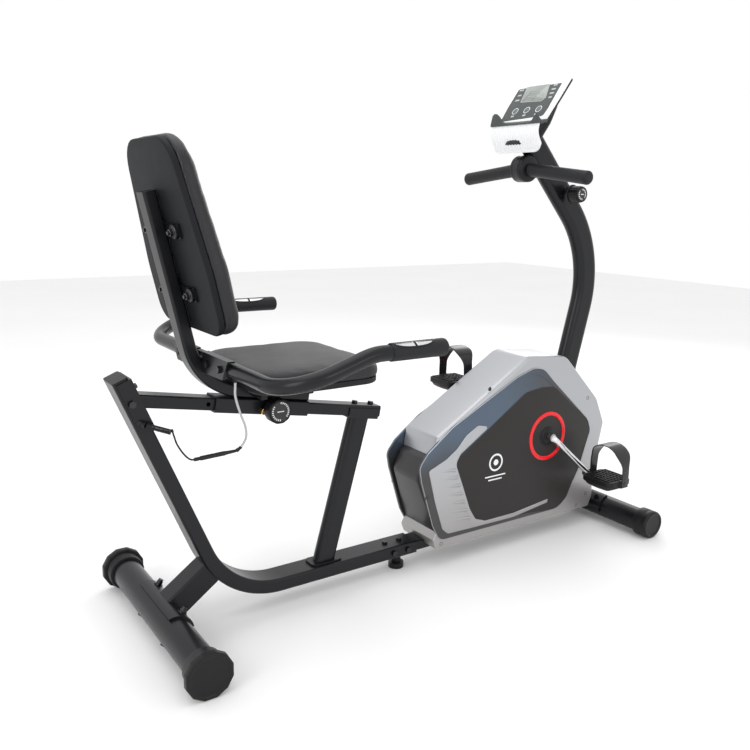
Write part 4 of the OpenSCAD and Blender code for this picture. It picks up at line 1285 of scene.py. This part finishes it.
@dataclass
class SeatBar(Assembly):
    """Foam grips and chrome pulse pads at the ends of the seat bar."""

    side: float = 329.0
    level: float = 598.0
    grip_from: float = 303.0
    grip_to: float = 424.0

    def arc(self, x: float, half: float, outer: Point2, inner: float, steps: int) -> list[Vector]:
        """Section of a plate that is curved round the right grip.

        Args:
            x: place along the grip.
            half: half the angle that the plate spans.
            outer: radius of the outer face, and its share of that radius upwards.
            inner: radius of the inner face.
            steps: faces across the plate.

        Returns:
            The section's points.
        """
        sweep = [half - 2 * half * j / steps for j in range(steps + 1)]
        ring = [(outer[0], a, outer[1]) for a in sweep] + [(inner, -a, 1.0) for a in sweep]
        return [
            at(x, -self.side + r * math.sin(a), self.level + r * math.cos(a) * lift) for r, a, lift in ring
        ]

    def pad_half(self, low: float, high: float) -> bpy.types.Object:
        """One plate of a pulse pad, curved round the right grip."""
        rings = []
        for k in range(13):
            x = low + (high - low) * k / 12
            half = math.radians(47) * max(0.0, 1 - abs((x - 351) / 43.5) ** 2.6) ** 0.5 + math.radians(4)
            rings.append(self.arc(x, half, (16.9, 0.97), 14.6, 12))
        return soften(loft("pulse_plate", rings), 0.0005, 2, 40)

    def build(self) -> None:
        """Models the right side and mirrors it."""
        length = self.grip_to - self.grip_from
        grip = turned(
            "grip_right", at(self.grip_from, -self.side, self.level), Vector((1, 0, 0)),
            [(0, 14.1), (0.4, 15.0), (2.0, 15.8), (length - 26, 16.0), (length - 24, 16.2),
             (length - 6, 16.4), (length - 3, 15.8), (length - 1.2, 14.4), (length - 0.3, 12.0),
             (length, 9.0)], 48, 30)
        plates = joined("pulse_right", [self.pad_half(309.5, 348.6), self.pad_half(353.4, 392.5)])
        bezel_rings = []
        for k in range(17):
            x = 303.5 + 95 * k / 16
            half = math.radians(60) * max(0.0, 1 - abs((x - 351) / 48.2) ** 2.2) ** 0.5 + math.radians(3)
            bezel_rings.append(self.arc(x, half, (16.5, 1.0), 14.4, 10))
        bezel = soften(loft("pulse_bezel_right", bezel_rings), 0.0004, 2, 40)
        for piece, finish, slot, node in (
            (grip, Finish.FOAM, "grip_foam", "seat_grips"),
            (plates, Finish.CHROME, "chrome", "pulse_sensors"),
            (bezel, Finish.PLASTIC, "black_plastic", "pulse_sensors"),
        ):
            twin = copy_of(piece, piece.name.replace("right", "left"), MIRROR)
            self.add(piece, finish, "seat_carriage", slot, node)
            self.add(twin, finish, "seat_carriage", slot, node)


@dataclass
class SeatLock(Assembly):
    """Pull-and-turn knob that locks the seat carriage."""

    x: float = 235.6
    z: float = 440.2

    def build(self) -> None:
        """Models the knob, its printed face and its collar."""
        centre = at(self.x, 0, self.z)
        knob = turned(
            "seat_lock_knob", centre, RIGHT,
            [(26, 12.0), (30, 13.0), (31, 17.0), (36, 23.2), (38, 25.4), (40, 25.9), (57, 25.9), (59.4, 25.0),
             (60.6, 23.4), (60.9, 22.4), (60.2, 21.8), (60.2, 21.0)], 72, 26)
        fluted(knob, centre, 0.0245, 12, 0.0007, 4)
        face = turned("seat_lock_face", centre, RIGHT,
                      [(59.8, 21.2), (60.5, 21.2), (60.9, 20.6), (61.0, 12.0)], 64, 26)
        dial = PrintedDial("lock_dial", centre, 0.0178)
        collar = turned(
            "seat_lock_collar", centre, RIGHT,
            [(25, 14.0), (27, 14.0), (28, 13.2), (28.4, 11.0), (33, 11.0)], 40, 26)
        nut = turned("seat_lock_nut", at(self.x - 21, 0, self.z - 4), RIGHT,
                     [(25, 7.0), (33, 7.0), (34, 6.2), (34.2, 3.6), (40, 3.6), (40.6, 3.0)], 6, 20)
        self.add(knob, Finish.PLASTIC, "lock_handle", "black_plastic", "lock_knob")
        self.add(face, dial, "lock_handle", "black_plastic", "lock_knob")
        self.add(collar, Finish.BLACKED, "seat_carriage", "steel")
        self.add(nut, Finish.BRASS, "seat_carriage", "steel")


def side_place(x: float, z: float, y: float) -> Vector:
    """Point of a right-hand side outline, with its level measured outwards."""
    return at(x, -y, z)


@dataclass
class Shroud(Assembly):
    """Silver cover with its charcoal rear body, side band, vents, centre panel and red ring."""

    half: float = 64.0
    crank: Point2 = (987.0, 276.0)
    cover: tuple[Point3, ...] = (
        (640, 50, 6), (631, 74, 6), (642, 93, 5), (648, 120, 30), (640, 262, 20), (627, 277, 6),
        (634, 323, 14), (910, 488, 55), (1046, 475, 45), (1172, 350, 70), (1206, 281, 24), (1180, 152, 10),
        (1181, 78, 14), (1169, 49, 6),
    )
    body: tuple[Point3, ...] = (
        (642, 90, 4), (590, 228, 24), (612, 272, 18), (640, 285, 6), (720, 300, 20), (730, 90, 10),
    )
    band: tuple[Point3, ...] = (
        (927, 457, 40), (872, 440, 60), (675, 343, 60), (606, 292, 26), (583, 262, 26), (590, 226, 30),
        (627, 112, 40), (650, 71, 26), (829, 70, 60), (1040, 69, 50), (1072, 90, 40), (1114, 162, 60),
        (1150, 270, 26), (1136, 300, 40), (1000, 416, 70), (962, 452, 50),
    )
    panel: tuple[Point3, ...] = (
        (960, 405, 50), (905, 399, 50), (784, 322, 40), (704, 272, 24), (690, 254, 24), (740, 130, 60),
        (762, 92, 22), (880, 84, 200), (1042, 70, 50), (1074, 94, 40), (1113, 172, 60), (1148, 268, 26),
        (1134, 298, 40), (1004, 402, 60),
    )
    field_edge: tuple[Point3, ...] = (
        (608, 250, 8), (660, 270, 30), (690, 290, 40), (716, 318, 40), (752, 338, 16), (788, 330, 5),
        (738, 299, 30), (701, 276, 20), (688, 254, 22), (713, 194, 60), (738, 132, 60), (757, 103, 14),
        (790, 91, 14), (884, 91, 90), (1005, 104, 1), (1003, 94, 1), (884, 80, 90), (752, 82, 60),
        (672, 84, 14), (655, 99, 12), (630, 170, 60),
    )
    fins: tuple[tuple[Point2, Point2], ...] = (
        ((632, 244), (687, 240)), ((640, 223), (695, 221)), ((648, 203), (703, 200)),
        ((656, 182), (711, 178)), ((664, 160), (719, 156)), ((673, 137), (728, 133)),
        ((682, 114), (737, 111)),
    )
    screws: tuple[Point2, ...] = ((786, 421), (1133, 356), (606, 187), (656, 61), (1154, 88), (1120, 61))

    def build(self) -> None:
        """Models the cover, the body and both sides."""
        cover = pillow("shroud_cover", rounded(self.cover, 7), self.half, -self.half, self.rounding,
                       side_place)
        body = pillow("shroud_rear_body", rounded(self.body, 8), self.half - 0.6, -self.half + 0.6,
                      lambda x, z: 24.0 if x < 652 and z > 96 else 4.0, side_place, steps=8)
        self.add(cover, Finish.SILVER, "frame", "shroud_silver", "shroud_left", "shroud_right")
        self.add(body, Finish.CHARCOAL, "frame", "panel_dark", "side_panels")
        band = pillow("shroud_band_right", rounded(self.band, 8), 66.4, 60.0, 1.8, side_place, both=False,
                      steps=4)
        panel = pillow("shroud_panel_right", rounded(self.panel, 8), 67.3, 64.0, 1.0, side_place, both=False,
                       steps=3)
        field = pillow("shroud_vents_right", rounded(self.field_edge, 6), 68.3, 64.0, 1.1, side_place,
                       both=False, steps=4)
        fins = joined("shroud_fins_right", [self.fin(*ends) for ends in self.fins])
        ridge_path = curve_through([at(x, -66.5, z) for x, z in
                                    ((672, 322), (677, 332), (690, 341), (773, 383), (872, 428), (915, 441),
                                     (948, 437), (990, 411), (1080, 340))], 6)
        ridge = swept("shroud_ridge_right", ridge_path, lambda s: oval(1.5, 0.9, 8), RIGHT)
        edge = swept("shroud_edge_right", self.loop(self.band, 65.6), lambda s: oval(0.9, 0.9, 8), RIGHT)
        rim = swept("shroud_rim_right", self.loop(self.panel, 67.0), lambda s: oval(0.8, 0.8, 8), RIGHT)
        hub = at(self.crank[0], 0, self.crank[1])
        ring = spun("hub_ring_right", hub, RIGHT,
                    [(66.8, 52.6), (68.6, 53.2), (69.3, 54.6), (69.3, 61.4), (68.6, 62.8), (66.8, 63.4)], 96)
        well = turned("hub_well_right", hub, RIGHT,
                      [(66.0, 25.4), (67.6, 25.4), (68.4, 24.6), (68.8, 22.5), (69.6, 20.5), (71.5, 19.4),
                       (72.0, 18.4)], 64)
        mark = self.emblem()
        for piece, finish, slot, nodes in (
            # The band and the ridge share the band paint and its painted reflection.
            (band, Finish.BAND, "panel_dark", ("side_panels",)),
            (panel, Finish.PANEL, "panel_dark", ("side_panels",)),
            (field, Finish.SILVER, "shroud_silver", ("side_panels",)),
            (fins, Finish.SILVER, "shroud_silver", ("side_panels",)),
            (ridge, Finish.BAND, "panel_dark", ("side_panels",)),
            (edge, Finish.SILVER, "shroud_silver", ("side_panels",)),
            (rim, Finish.CHARCOAL, "panel_dark", ("side_panels",)),
            (ring, Finish.RED, "ring_red", ("hub_rings",)), (well, Finish.PLASTIC, "black_plastic", ()),
            (mark, Finish.WHITE, "console_white", ()),
            (self.screw_set(), Finish.BLACKED, "steel", ("shroud_screws",)),
        ):
            twin = copy_of(piece, piece.name.replace("right", "left"), MIRROR)
            self.add(piece, finish, "frame", slot, *nodes)
            self.add(twin, finish, "frame", slot, *nodes)

    def rounding(self, x: float, z: float) -> float:
        """Edge rounding of the cover: generous over the top, small along the sill."""
        if z < 120:
            return 3.0
        if x > 1120:
            return 7.0
        return 11.0

    def loop(self, corners: Sequence[Sequence[float]], level: float) -> list[Vector]:
        """Closed run round an outline at one level."""
        points = rounded(corners, 8)
        return [side_place(x, z, level) for x, z in [*points, points[0]]]

    def fin(self, tip: Point2, heel: Point2) -> bpy.types.Object:
        """One claw-shaped vent fin, pointed at its tip and cut square at its heel."""
        (x0, z0), (x1, z1) = tip, heel
        rings = []
        for k in range(11):
            s = k / 10
            x, z = x0 + (x1 - x0) * s, z0 + (z1 - z0) * s
            wide = 0.5 + 5.6 * s**0.8
            rise = 0.2 + 3.4 * s**1.3
            drop = 2.4 * s
            rings.append([
                side_place(x, z + wide * 0.75, 68.0), side_place(x, z + wide * 0.5, 68.0 + rise * 0.75),
                side_place(x, z + wide * 0.1, 68.0 + rise),
                side_place(x + drop * 0.3, z - wide * 0.5, 68.0 + rise * 0.55),
                side_place(x + drop * 0.4, z - wide, 68.0), side_place(x, z, 67.2)])
        return soften(loft("vent_fin", rings), 0.0004, 2, 35)

    def emblem(self) -> bpy.types.Object:
        """Plain printed mark: an open ring over two short bars, without lettering."""
        centre = at(815, 0, 236)
        ring = spun("mark", centre, RIGHT, [(67.1, 17.5), (67.6, 17.5), (67.6, 22.0), (67.1, 22.0)], 48)
        dot = turned("mark_dot", centre, RIGHT, [(67.1, 7.5), (67.6, 7.5)], 32)
        bars = [block(f"mark_bar_{z}", at(815, -67.35, z), (length, 0.5, 3.2), 0.0001)
                for z, length in ((202, 66), (193, 44))]
        return joined("printed_mark_right", [ring, dot, *bars])

    def screw_set(self) -> bpy.types.Object:
        """Screws round the right side, each in a dark ring that stands for the shade of its recess."""
        made = []
        for x, z in self.screws:
            level = 66.2 if (x, z) == (606, 187) else 63.6
            centre = at(x, 0, z)
            # Painted shade: a dark raised ring is put where the screw's recess is only in shade.
            made.append(spun("screw_well", centre, RIGHT,
                             [(level - 0.4, 3.4), (level + 0.5, 3.5), (level + 0.7, 4.4), (level - 0.4, 5.2)],
                             28))
            made.append(turned("screw_head", centre, RIGHT,
                               [(level - 1.0, 3.4), (level + 0.05, 3.4), (level + 0.3, 2.8),
                                (level - 0.2, 1.2)], 20))
        return joined("shroud_screws_right", made)


@dataclass
class Cranks(Assembly):
    """Chrome crank arms and the strapped pedals on their ends."""

    centre: Point2 = (987.0, 276.0)
    length: float = 174.0
    angle: float = -40.5

    def build(self) -> None:
        """Models the right arm and pedal and copies them to the left."""
        hub = at(self.centre[0], 0, self.centre[1])
        a = math.radians(self.angle)
        along = Vector((math.cos(a), 0, math.sin(a)))
        half_turn = about(hub, Y_AXIS, 180) @ MIRROR

        def spot(run: float, out: float) -> Vector:
            """Point at a distance along the arm and out from the middle."""
            return hub + (along * run - Y_AXIS * out) * MM

        path = curve_through([tuple(spot(*p)) for p in
                              ((0, 66), (0, 73), (2, 80), (9, 85), (22, 87.4), (60, 89.2), (110, 91.4),
                               (150, 93.6), (160, 94.4))], 5)
        sizes = ((0.0, 9.2, 9.2), (0.3, 9.6, 9.2), (0.45, 10.6, 7.6), (0.7, 9.4, 6.8), (1.0, 8.6, 6.4))

        def section(share: float) -> list[Point2]:
            """Oval of the arm at a share of its length."""
            for low, high in zip(sizes, sizes[1:]):
                if share <= high[0]:
                    t = (share - low[0]) / (high[0] - low[0])
                    return superoval(low[1] + (high[1] - low[1]) * t, low[2] + (high[2] - low[2]) * t, 2.5,
                                     24)
            return superoval(8.6, 6.4, 2.5, 24)

        arm = swept("crank_arm", path, section, along.cross(Y_AXIS))
        eye = turned("crank_eye", spot(self.length, 0), RIGHT,
                     [(86.6, 11.5), (87.2, 13.0), (88.4, 13.6), (100.6, 13.6), (101.6, 13.0), (102, 11.6)],
                     48)
        web = swept("crank_web",
                    [spot(r, o) for r, o in ((150, 93.6), (158, 94.2), (166, 94.6), (172, 94.6))],
                    lambda s: superoval(8.8 + 2.0 * s, 6.4 - 0.2 * s, 2.6, 24), along.cross(Y_AXIS))
        nut = turned("crank_nut", hub, RIGHT,
                     [(69, 15.5), (73.5, 15.5), (74.4, 14.6), (74.6, 12.4), (76.5, 12.0)], 6)
        arm = joined("right_crank_arm", [arm, eye, web])
        spindle = turned("right_pedal_spindle", spot(self.length, 0), RIGHT,
                         [(100, 8.2), (106.5, 8.2), (107.4, 7.4), (107.6, 5.2), (112, 5.0)], 6)
        for side, change in (("right", Matrix.Identity(4)), ("left", half_turn)):
            for piece, finish in ((arm, Finish.CHROME), (nut, Finish.BLACKED), (spindle, Finish.BRASS)):
                name = piece.name.replace("right", side) if "right" in piece.name else f"{side}_{piece.name}"
                slot = "chrome" if finish is Finish.CHROME else "steel"
                made = copy_of(piece, name, change)
                self.add(made, finish, "crankset", slot, f"{side}_crank")
        for piece in (arm, nut, spindle):
            bpy.data.objects.remove(piece)
        pedal_at = spot(self.length, 0)
        tread, base, strap = self.pedal(pedal_at)
        other = hub - along * self.length * MM
        move = Matrix.Translation(other - pedal_at)
        for side, change in (("right", Matrix.Identity(4)), ("left", MIRROR @ move)):
            body = f"{side}_pedal_body"
            for piece, finish, slot, node in (
                (tread, Finish.RUBBER, "black_plastic", "pedal"),
                (base, Finish.PLASTIC, "black_plastic", "pedal"),
                (strap, Finish.STRAP, "strap_rubber", "strap"),
            ):
                self.add(copy_of(piece, f"{side}_{piece.name}", change), finish, body, slot, f"{side}_{node}")
        for piece in (tread, base, strap):
            bpy.data.objects.remove(piece)

    def pedal(self, pivot: Vector) -> tuple[bpy.types.Object, bpy.types.Object, bpy.types.Object]:
        """Models the right pedal: ribbed tread, weighted base and slotted strap."""

        def put(x: float, y: float, z: float) -> Vector:
            """Point measured from the spindle and the pedal's middle."""
            return pivot + Vector((x, -156 + y, z)) * MM

        plan = rounded([(-44, -40, 14), (-30, -47, 14), (34, -47, 16), (45, -30, 18), (45, 30, 18),
                        (34, 47, 16), (-30, 47, 14), (-44, 40, 14)], 5)
        deck = pillow("pedal_deck", plan, 9.0, -5.0, 2.4, put, steps=3)
        ribs = []
        for i in range(-3, 4):
            reach = 40 - abs(i) * 2.2
            ribs.append(block("tread_rib", put(i * 11.5, 0, 9.6), (4.6, 2 * reach, 4.6), 0.0012))
        for j in range(-3, 4):
            ribs.append(block("tread_cross", put(0, j * 11.5, 9.0), (76, 4.0, 4.2), 0.0011))
        tread = joined("pedal_tread", [deck, *ribs])
        hull = rounded([(-40, -40, 12), (40, -43, 12), (43, 0, 30), (40, 43, 12), (-40, 40, 12),
                        (-43, 0, 30)], 5)
        rings = []
        for level, share in ((-4.5, 1.0), (-8, 0.99), (-13, 0.9), (-17.5, 0.72), (-20.4, 0.5), (-21, 0.3)):
            rings.append([put(x * share, y * (share * 0.9 + 0.1), level) for x, y in hull])
        base = loft("pedal_base", rings)
        barrel = turned("pedal_barrel", put(0, 0, 0), RIGHT,
                        [(-52, 8), (-50.5, 9.6), (-44, 10.4), (44, 10.4), (48.6, 9.6), (49.6, 8.2)], 32)
        base = joined("pedal_base", [base, barrel])
        walk = [(-50.5, -8), (-50.6, 10), (-50.4, 30), (-49, 48), (-43, 66), (-30, 82), (-12, 90.5),
                (6, 91.5), (26, 86), (41, 72), (49, 52), (50.4, 32), (50.6, 10), (50.5, -8)]
        path = [put(9, y, z) for y, z in curve_through(walk, 5)]
        widths = ((0.0, 12), (0.2, 12.5), (0.36, 25), (0.62, 27), (0.78, 14), (1.0, 12))

        def band(share: float) -> list[Point2]:
            """Flat section of the strap, wide over the foot and narrow at its tails."""
            wide = 12.0
            for low, high in zip(widths, widths[1:]):
                if low[0] <= share <= high[0]:
                    t = (share - low[0]) / (high[0] - low[0])
                    t = t * t * (3 - 2 * t)
                    wide = low[1] + (high[1] - low[1]) * t
            return superoval(wide, 1.5, 5, 24)

        strap = swept("pedal_strap", path, band, Y_AXIS)
        buttons = []
        for sy in (-1, 1):
            for z in (14, 25, 36):
                buttons.append(block("strap_slot", put(9, sy * 51.0, z), (11, 3.6, 3.4), 0.0008))
            buttons.append(turned("strap_stud", put(9, sy * 50, 2), Vector((0, sy, 0)),
                                  [(0, 6), (2.4, 6), (3.2, 5.2), (3.4, 3.0)], 24))
        return tread, base, joined("pedal_strap", [strap, *buttons])


LEAN = math.radians(36)
FACE_OUT = Vector((-math.cos(LEAN), 0, math.sin(LEAN)))
FACE_UP = Vector((math.sin(LEAN), 0, math.cos(LEAN)))


def on_face(y: float, h: float, out: float) -> Vector:
    """Point on the console's face: across, up the slope and out of it, in millimetres."""
    return at(900, 0, 1040) + (Y_AXIS * y + FACE_UP * h + FACE_OUT * out) * MM


@dataclass
class Console(Assembly):
    """White display housing with its dark face, liquid-crystal window, buttons and ribbed tray."""

    labels: tuple[Point3, ...] = (
        (59, 91, 7), (56, 75, 6), (54, 60, 7), (-48, 94, 6), (-49, 82, 6.5), (-51, 70, 6.5), (-53, 58, 5),
        (38, 11, 5), (0, 11, 5), (-38, 11, 5),
    )

    def build(self) -> None:
        """Models the housing, the face, the labels, the tray and the keys."""

        def plate(name: str, corners: Sequence[Point3], low: float, high: float,
                  edge: float) -> bpy.types.Object:
            """Thin plate on the face, between two levels, with its outer edge rounded."""
            return pillow(name, rounded(corners, 6), high, low, edge, on_face, both=False, steps=4)

        frame_plate = plate("console_frame",
                            [(80, 104, 22), (79, 117, 12), (-81, 121, 4), (-80, 60, 200), (-77, -6, 5),
                             (77, -6, 5)],
                            -5.0, 0.2, 1.6)
        back = pillow("console_back_shell", rounded([(78, 102, 20), (76, 114, 12), (-79, 118, 4),
                                                     (-78, 60, 200), (-74, -8, 5), (74, -8, 5)], 6), -14.0,
                                                     -4.6, 5.0, on_face, both=False, steps=4)
        neck_rings = []
        for h, wide, deep in ((96, 42, 15), (60, 50, 18), (20, 52, 21), (-20, 46, 23), (-46, 36, 22),
                              (-60, 27, 17)):
            neck_rings.append([on_face(a, h, -8 - deep + b) for a, b in superoval(wide, deep, 3.2, 28)])
        neck = loft("console_neck_shell", neck_rings)
        face = plate("console_face",
                     [(72, 96, 5), (-65, 98, 3), (-65, 79, 6), (-67, 24, 40), (-64, 4, 8), (70, -2, 3),
                      (73, 40, 60)],
                     -0.6, 0.7, 0.3)
        border = plate("lens_border",
                       [(47, 100, 2), (-27, 100, 2), (-39.5, 58, 3), (-31, 49, 3), (39, 52, 3)], 0.4, 1.0,
                       0.2)
        lens = self.lens()
        tall = 2.4
        labels = []
        for k, (y, h, w) in enumerate(self.labels):
            corners = [(y + w, h + tall, 1), (y - w, h + tall, 1), (y - w, h - tall, 1), (y + w, h - tall, 1)]
            labels.append(plate(f"label_{k}", corners, 0.5, 0.95, 0.1))
        self.add(frame_plate, Finish.WHITE, "frame", "console_white", "console_front")
        self.add(joined("console_back_shell", [back, neck]), Finish.PLASTIC, "frame", "black_plastic",
                 "console_back")
        self.add(face, Finish.FACE, "frame", "panel_dark", "console_front")
        self.add(border, Finish.LABEL, "frame", "button_grey", "console_front")
        self.add(lens, Finish.GLASS, "frame", "display_lens", "console_lens")
        self.add(joined("console_labels", labels), Finish.LABEL, "frame", "button_grey", "console_front")
        self.add(self.tray(), Finish.WHITE, "frame", "console_white", "console_front")
        self.add(self.ledge(), Finish.FACE, "frame", "panel_dark", "console_front")
        self.buttons()

    def lens(self) -> bpy.types.Object:
        """Display window with its own map for the segment figures."""
        lens = pillow("display_window", rounded([(45, 98, 1.5), (-25, 98, 1.5), (-37, 58, 2), (-29.5, 51, 2),
                                                 (37, 54, 1.5)], 3),
                      1.5, 0.6, 0.3, on_face, both=False, steps=2)
        layer = lens.data.uv_layers.new(name="UVMap")
        for loop in lens.data.loops:
            local = lens.data.vertices[loop.vertex_index].co - on_face(0, 0, 0)
            y, h = local.dot(Y_AXIS) / MM, local.dot(FACE_UP) / MM
            layer.data[loop.index].uv = ((45 - y) / 82, (h - 50) / 48)
        return lens

    def tray(self) -> bpy.types.Object:
        """White panel with upright ribs and rounded lower corners."""
        rings = []
        count = 17 * 6
        for k in range(count + 1):
            y = 76 - 154 * k / count
            end = min(1.0, (76 - abs(y + 1)) / 20 + 0.001)
            low = 964 + 19 * (1 - math.sqrt(max(0.0, 1 - (1 - end) ** 2)))
            inside = 1.0 if 5 < k < count - 5 else 0.0
            wave = inside * (0.5 + 0.5 * math.cos(2 * math.pi * k / 6)) ** 0.7
            ring = []
            for j in range(15):
                t = j / 14
                z = 1027 + (low - 1027) * t
                bulge = 5.5 * math.sin(math.pi * min(1.0, t * 1.05)) + 2.0 * (1 - t)
                rib = 1.5 * wave * (1.0 if 0.14 < t < 0.86 else 0.25)
                ring.append(at(880.0 - bulge - rib + 6.5 * t * t, y, z))
            for j in range(15):
                t = 1 - j / 14
                z = 1027 + (low - 1027) * t
                bulge = 5.5 * math.sin(math.pi * min(1.0, t * 1.05)) + 2.0 * (1 - t)
                ring.append(at(883.6 - bulge + 6.5 * t * t, y, z))
            rings.append(ring)
        return loft("console_ribbed_tray", rings)

    def ledge(self) -> bpy.types.Object:
        """Dark rest between the display's foot and the tray, with an upturned ear at each end."""
        rings = []
        for y, lift in ((78, 0), (76, 8), (72, 22), (66, 26), (58, 25), (50, 20), (42, 10), (36, 3), (20, 0),
                        (-20, 0), (-50, 0), (-58, 5), (-66, 14), (-72, 20), (-77, 12), (-79, 0)):
            rings.append([at(874.5, y, 1026), at(874.0, y, 1028.5 + lift), at(876.5, y, 1029 + lift),
                          at(886, y, 1029.5 + lift * 0.25),
                          at(903, y, 1036), at(903, y, 1030), at(884, y, 1024)])
        return soften(loft("console_ledge", rings), 0.0006, 2, 40)

    def buttons(self) -> None:
        """Three round keys with pale rings."""
        for name, y in (("reset", 38.0), ("set", 0.0), ("mode", -38.0)):
            centre = on_face(y, 26, 0)
            key = turned(f"{name}_key_cap", centre, FACE_OUT,
                         [(-0.5, 6.6), (1.3, 6.6), (1.9, 6.2), (2.1, 5.0), (2.0, 2.0)], 40)
            ring = spun(f"{name}_key_ring", centre, FACE_OUT,
                        [(0.4, 7.2), (1.2, 7.3), (1.4, 8.0), (1.2, 9.1), (0.4, 9.3)], 48)
            self.add(key, Finish.KEY, f"{name}_key", "button_grey", f"{name}_button")
            self.add(ring, Finish.BUTTON, "frame", "button_grey", "console_front")


@dataclass
class FrontBar(Assembly):
    """Front handlebar's clamp and foam grips, and the tension knob."""

    hub: Point2 = (917.0, 929.0)
    knob: Point2 = (1045.9, 873.1)

    def build(self) -> None:
        """Models the clamp, the grips and the knob."""
        hub = at(self.hub[0], 0, self.hub[1])
        clamp = turned("handlebar_hub", hub - Y_AXIS * 0.020, Y_AXIS,
                       [(0, 24), (1.5, 28), (4, 30.4), (6, 30.9), (34, 30.9), (36, 30.4), (38.5, 28),
                        (40, 24)], 64)
        droop = math.radians(6.5)
        axis = Vector((0, -math.cos(droop), -math.sin(droop)))
        grip = turned("front_grip_right", hub, axis,
                      [(22, 13.6), (23, 15.2), (25, 16.0), (28, 15.4), (60, 14.9), (120, 14.9), (190, 15.2),
                       (196, 15.4), (199, 14.8), (201.2, 13.0), (202.6, 10.5), (203, 7.0)], 48)
        left = copy_of(grip, "front_grip_left", MIRROR)
        band = spun("handlebar_clamp_band", hub, Y_AXIS,
                    [(-7, 30.6), (-6.4, 31.0), (6.4, 31.0), (7, 30.6), (7, 29.0), (-7, 29.0)], 64)
        self.add(clamp, Finish.PLASTIC, "frame", "black_plastic", "handlebar_clamp")
        self.add(band, Finish.BLACKED, "frame", "steel", "handlebar_clamp")
        self.add(grip, Finish.FOAM, "frame", "grip_foam", "handlebar_grips")
        self.add(left, Finish.FOAM, "frame", "grip_foam", "handlebar_grips")
        centre = at(self.knob[0], 0, self.knob[1])
        knob = turned("tension_knob_body", centre, RIGHT,
                      [(40, 16), (42, 19), (44, 20.2), (66, 19.6), (69.5, 18.6), (70.8, 17.2), (71.0, 16.4),
                       (70.2, 15.8), (70.2, 15.0)], 72)
        skirt = turned("tension_knob_skirt", centre, RIGHT,
                       [(34, 22), (36, 23), (40.5, 23), (42, 22), (42.6, 19.5)], 64)
        fluted(knob, centre, 0.0178, 18, 0.0009, 3)
        face = turned("tension_knob_face", centre, RIGHT,
                      [(69.8, 15.2), (70.4, 15.2), (70.8, 14.8), (70.9, 8.0)], 56)
        self.add(joined("tension_knob_body", [knob, skirt]), Finish.PLASTIC, "tension_dial", "black_plastic",
                 "tension_knob")
        self.add(face, PrintedDial("tension_dial_print", centre, 0.0118, 16), "tension_dial", "black_plastic",
                 "tension_knob")
        self.add(turned("tension_knob_washer", centre, RIGHT, [(16, 12), (33, 12), (34.2, 11)], 40),
                 Finish.BLACKED,
                 "frame", "steel")


@dataclass
class Feet(Assembly):
    """End caps of the stabilisers and the screw foot."""

    def build(self) -> None:
        """Models the caps and the foot."""
        rear = at(0, 0, 44)
        flange = turned("rear_cap_flange", rear, RIGHT,
                        [(233, 40.5), (233.6, 43.6), (236, 45.4), (247, 45.4), (249.3, 43.8), (250, 41.5),
                         (249.4, 38.5), (247.8, 36.5), (247.6, 30.0)], 12, 24)
        flange = soften(outward(flange), 0.0012, 3, 18)
        flange.data.transform(about(rear, Y_AXIS, 15))
        sleeve = turned("rear_cap_sleeve", rear, RIGHT,
                        [(208, 34.6), (208.6, 36.4), (210, 37.0), (231, 37.0), (234, 38.4)], 56)
        right = joined("rear_cap_right", [flange, sleeve])
        left = copy_of(right, "rear_cap_left", MIRROR)
        self.add(right, Finish.PLASTIC, "right_cap", "black_plastic", "right_rear_cap")
        self.add(left, Finish.PLASTIC, "left_cap", "black_plastic", "left_rear_cap")
        front = at(1236, 0, 36)
        cap = turned("front_cap_right", front, RIGHT,
                     [(185, 33.4), (185.6, 35.4), (187, 36.0), (206, 36.0), (208, 35.2), (210, 35.2),
                      (212, 36.0), (222, 36.0), (225.4, 34.2), (227, 31.0), (226.4, 28), (225, 26.5),
                      (224.8, 20)], 64)
        twin = copy_of(cap, "front_cap_left", MIRROR)
        self.add(cap, Finish.PLASTIC, "frame", "black_plastic", "front_caps")
        self.add(twin, Finish.PLASTIC, "frame", "black_plastic", "front_caps")


@dataclass
class FrameFinish(Assembly):
    """Finishes of the steel parts that are carried over as they are."""

    def build(self) -> None:
        """Dresses the carried-over parts."""
        self.paint(Finish.POWDER, "main_tube", "rear_neck", "rear_stabiliser", "seat_post", "seat_rail",
                   "rail_bracket",
                   "front_frame", "front_stabiliser", "console_post", "handlebar", "seat_sleeve", "back_post",
                   "handle_bracket", "seat_handlebar")
        self.paint(Finish.PLASTIC, "upright_cap", "rail_end_cap", "drive_pulley", "centre_foot")
        self.paint(Finish.BLACKED, "frame_bolts")
        self.paint(Finish.STEEL, "bearings", "flywheel_axle", "magnet_bracket", "crank_axle", "lock_pin")
        self.paint(Finish.IRON, "flywheel")
        self.paint(Finish.RUBBER, "drive_belt")
        self.paint(Finish.BOARD, "circuit_board")


def main() -> None:
    """Builds the bike from the camera outwards."""
    studio = Studio()
    studio.camera()
    PulseLead().build()
    studio.build()
    for part in (
        FrameFinish, SeatBar, SeatLock, Shroud, Cranks, Console, FrontBar, Feet, SeatPad, BackRest,
    ):
        LOG.info("building %s", part.__name__)
        part().build()


if __name__ == "__main__":
    main()
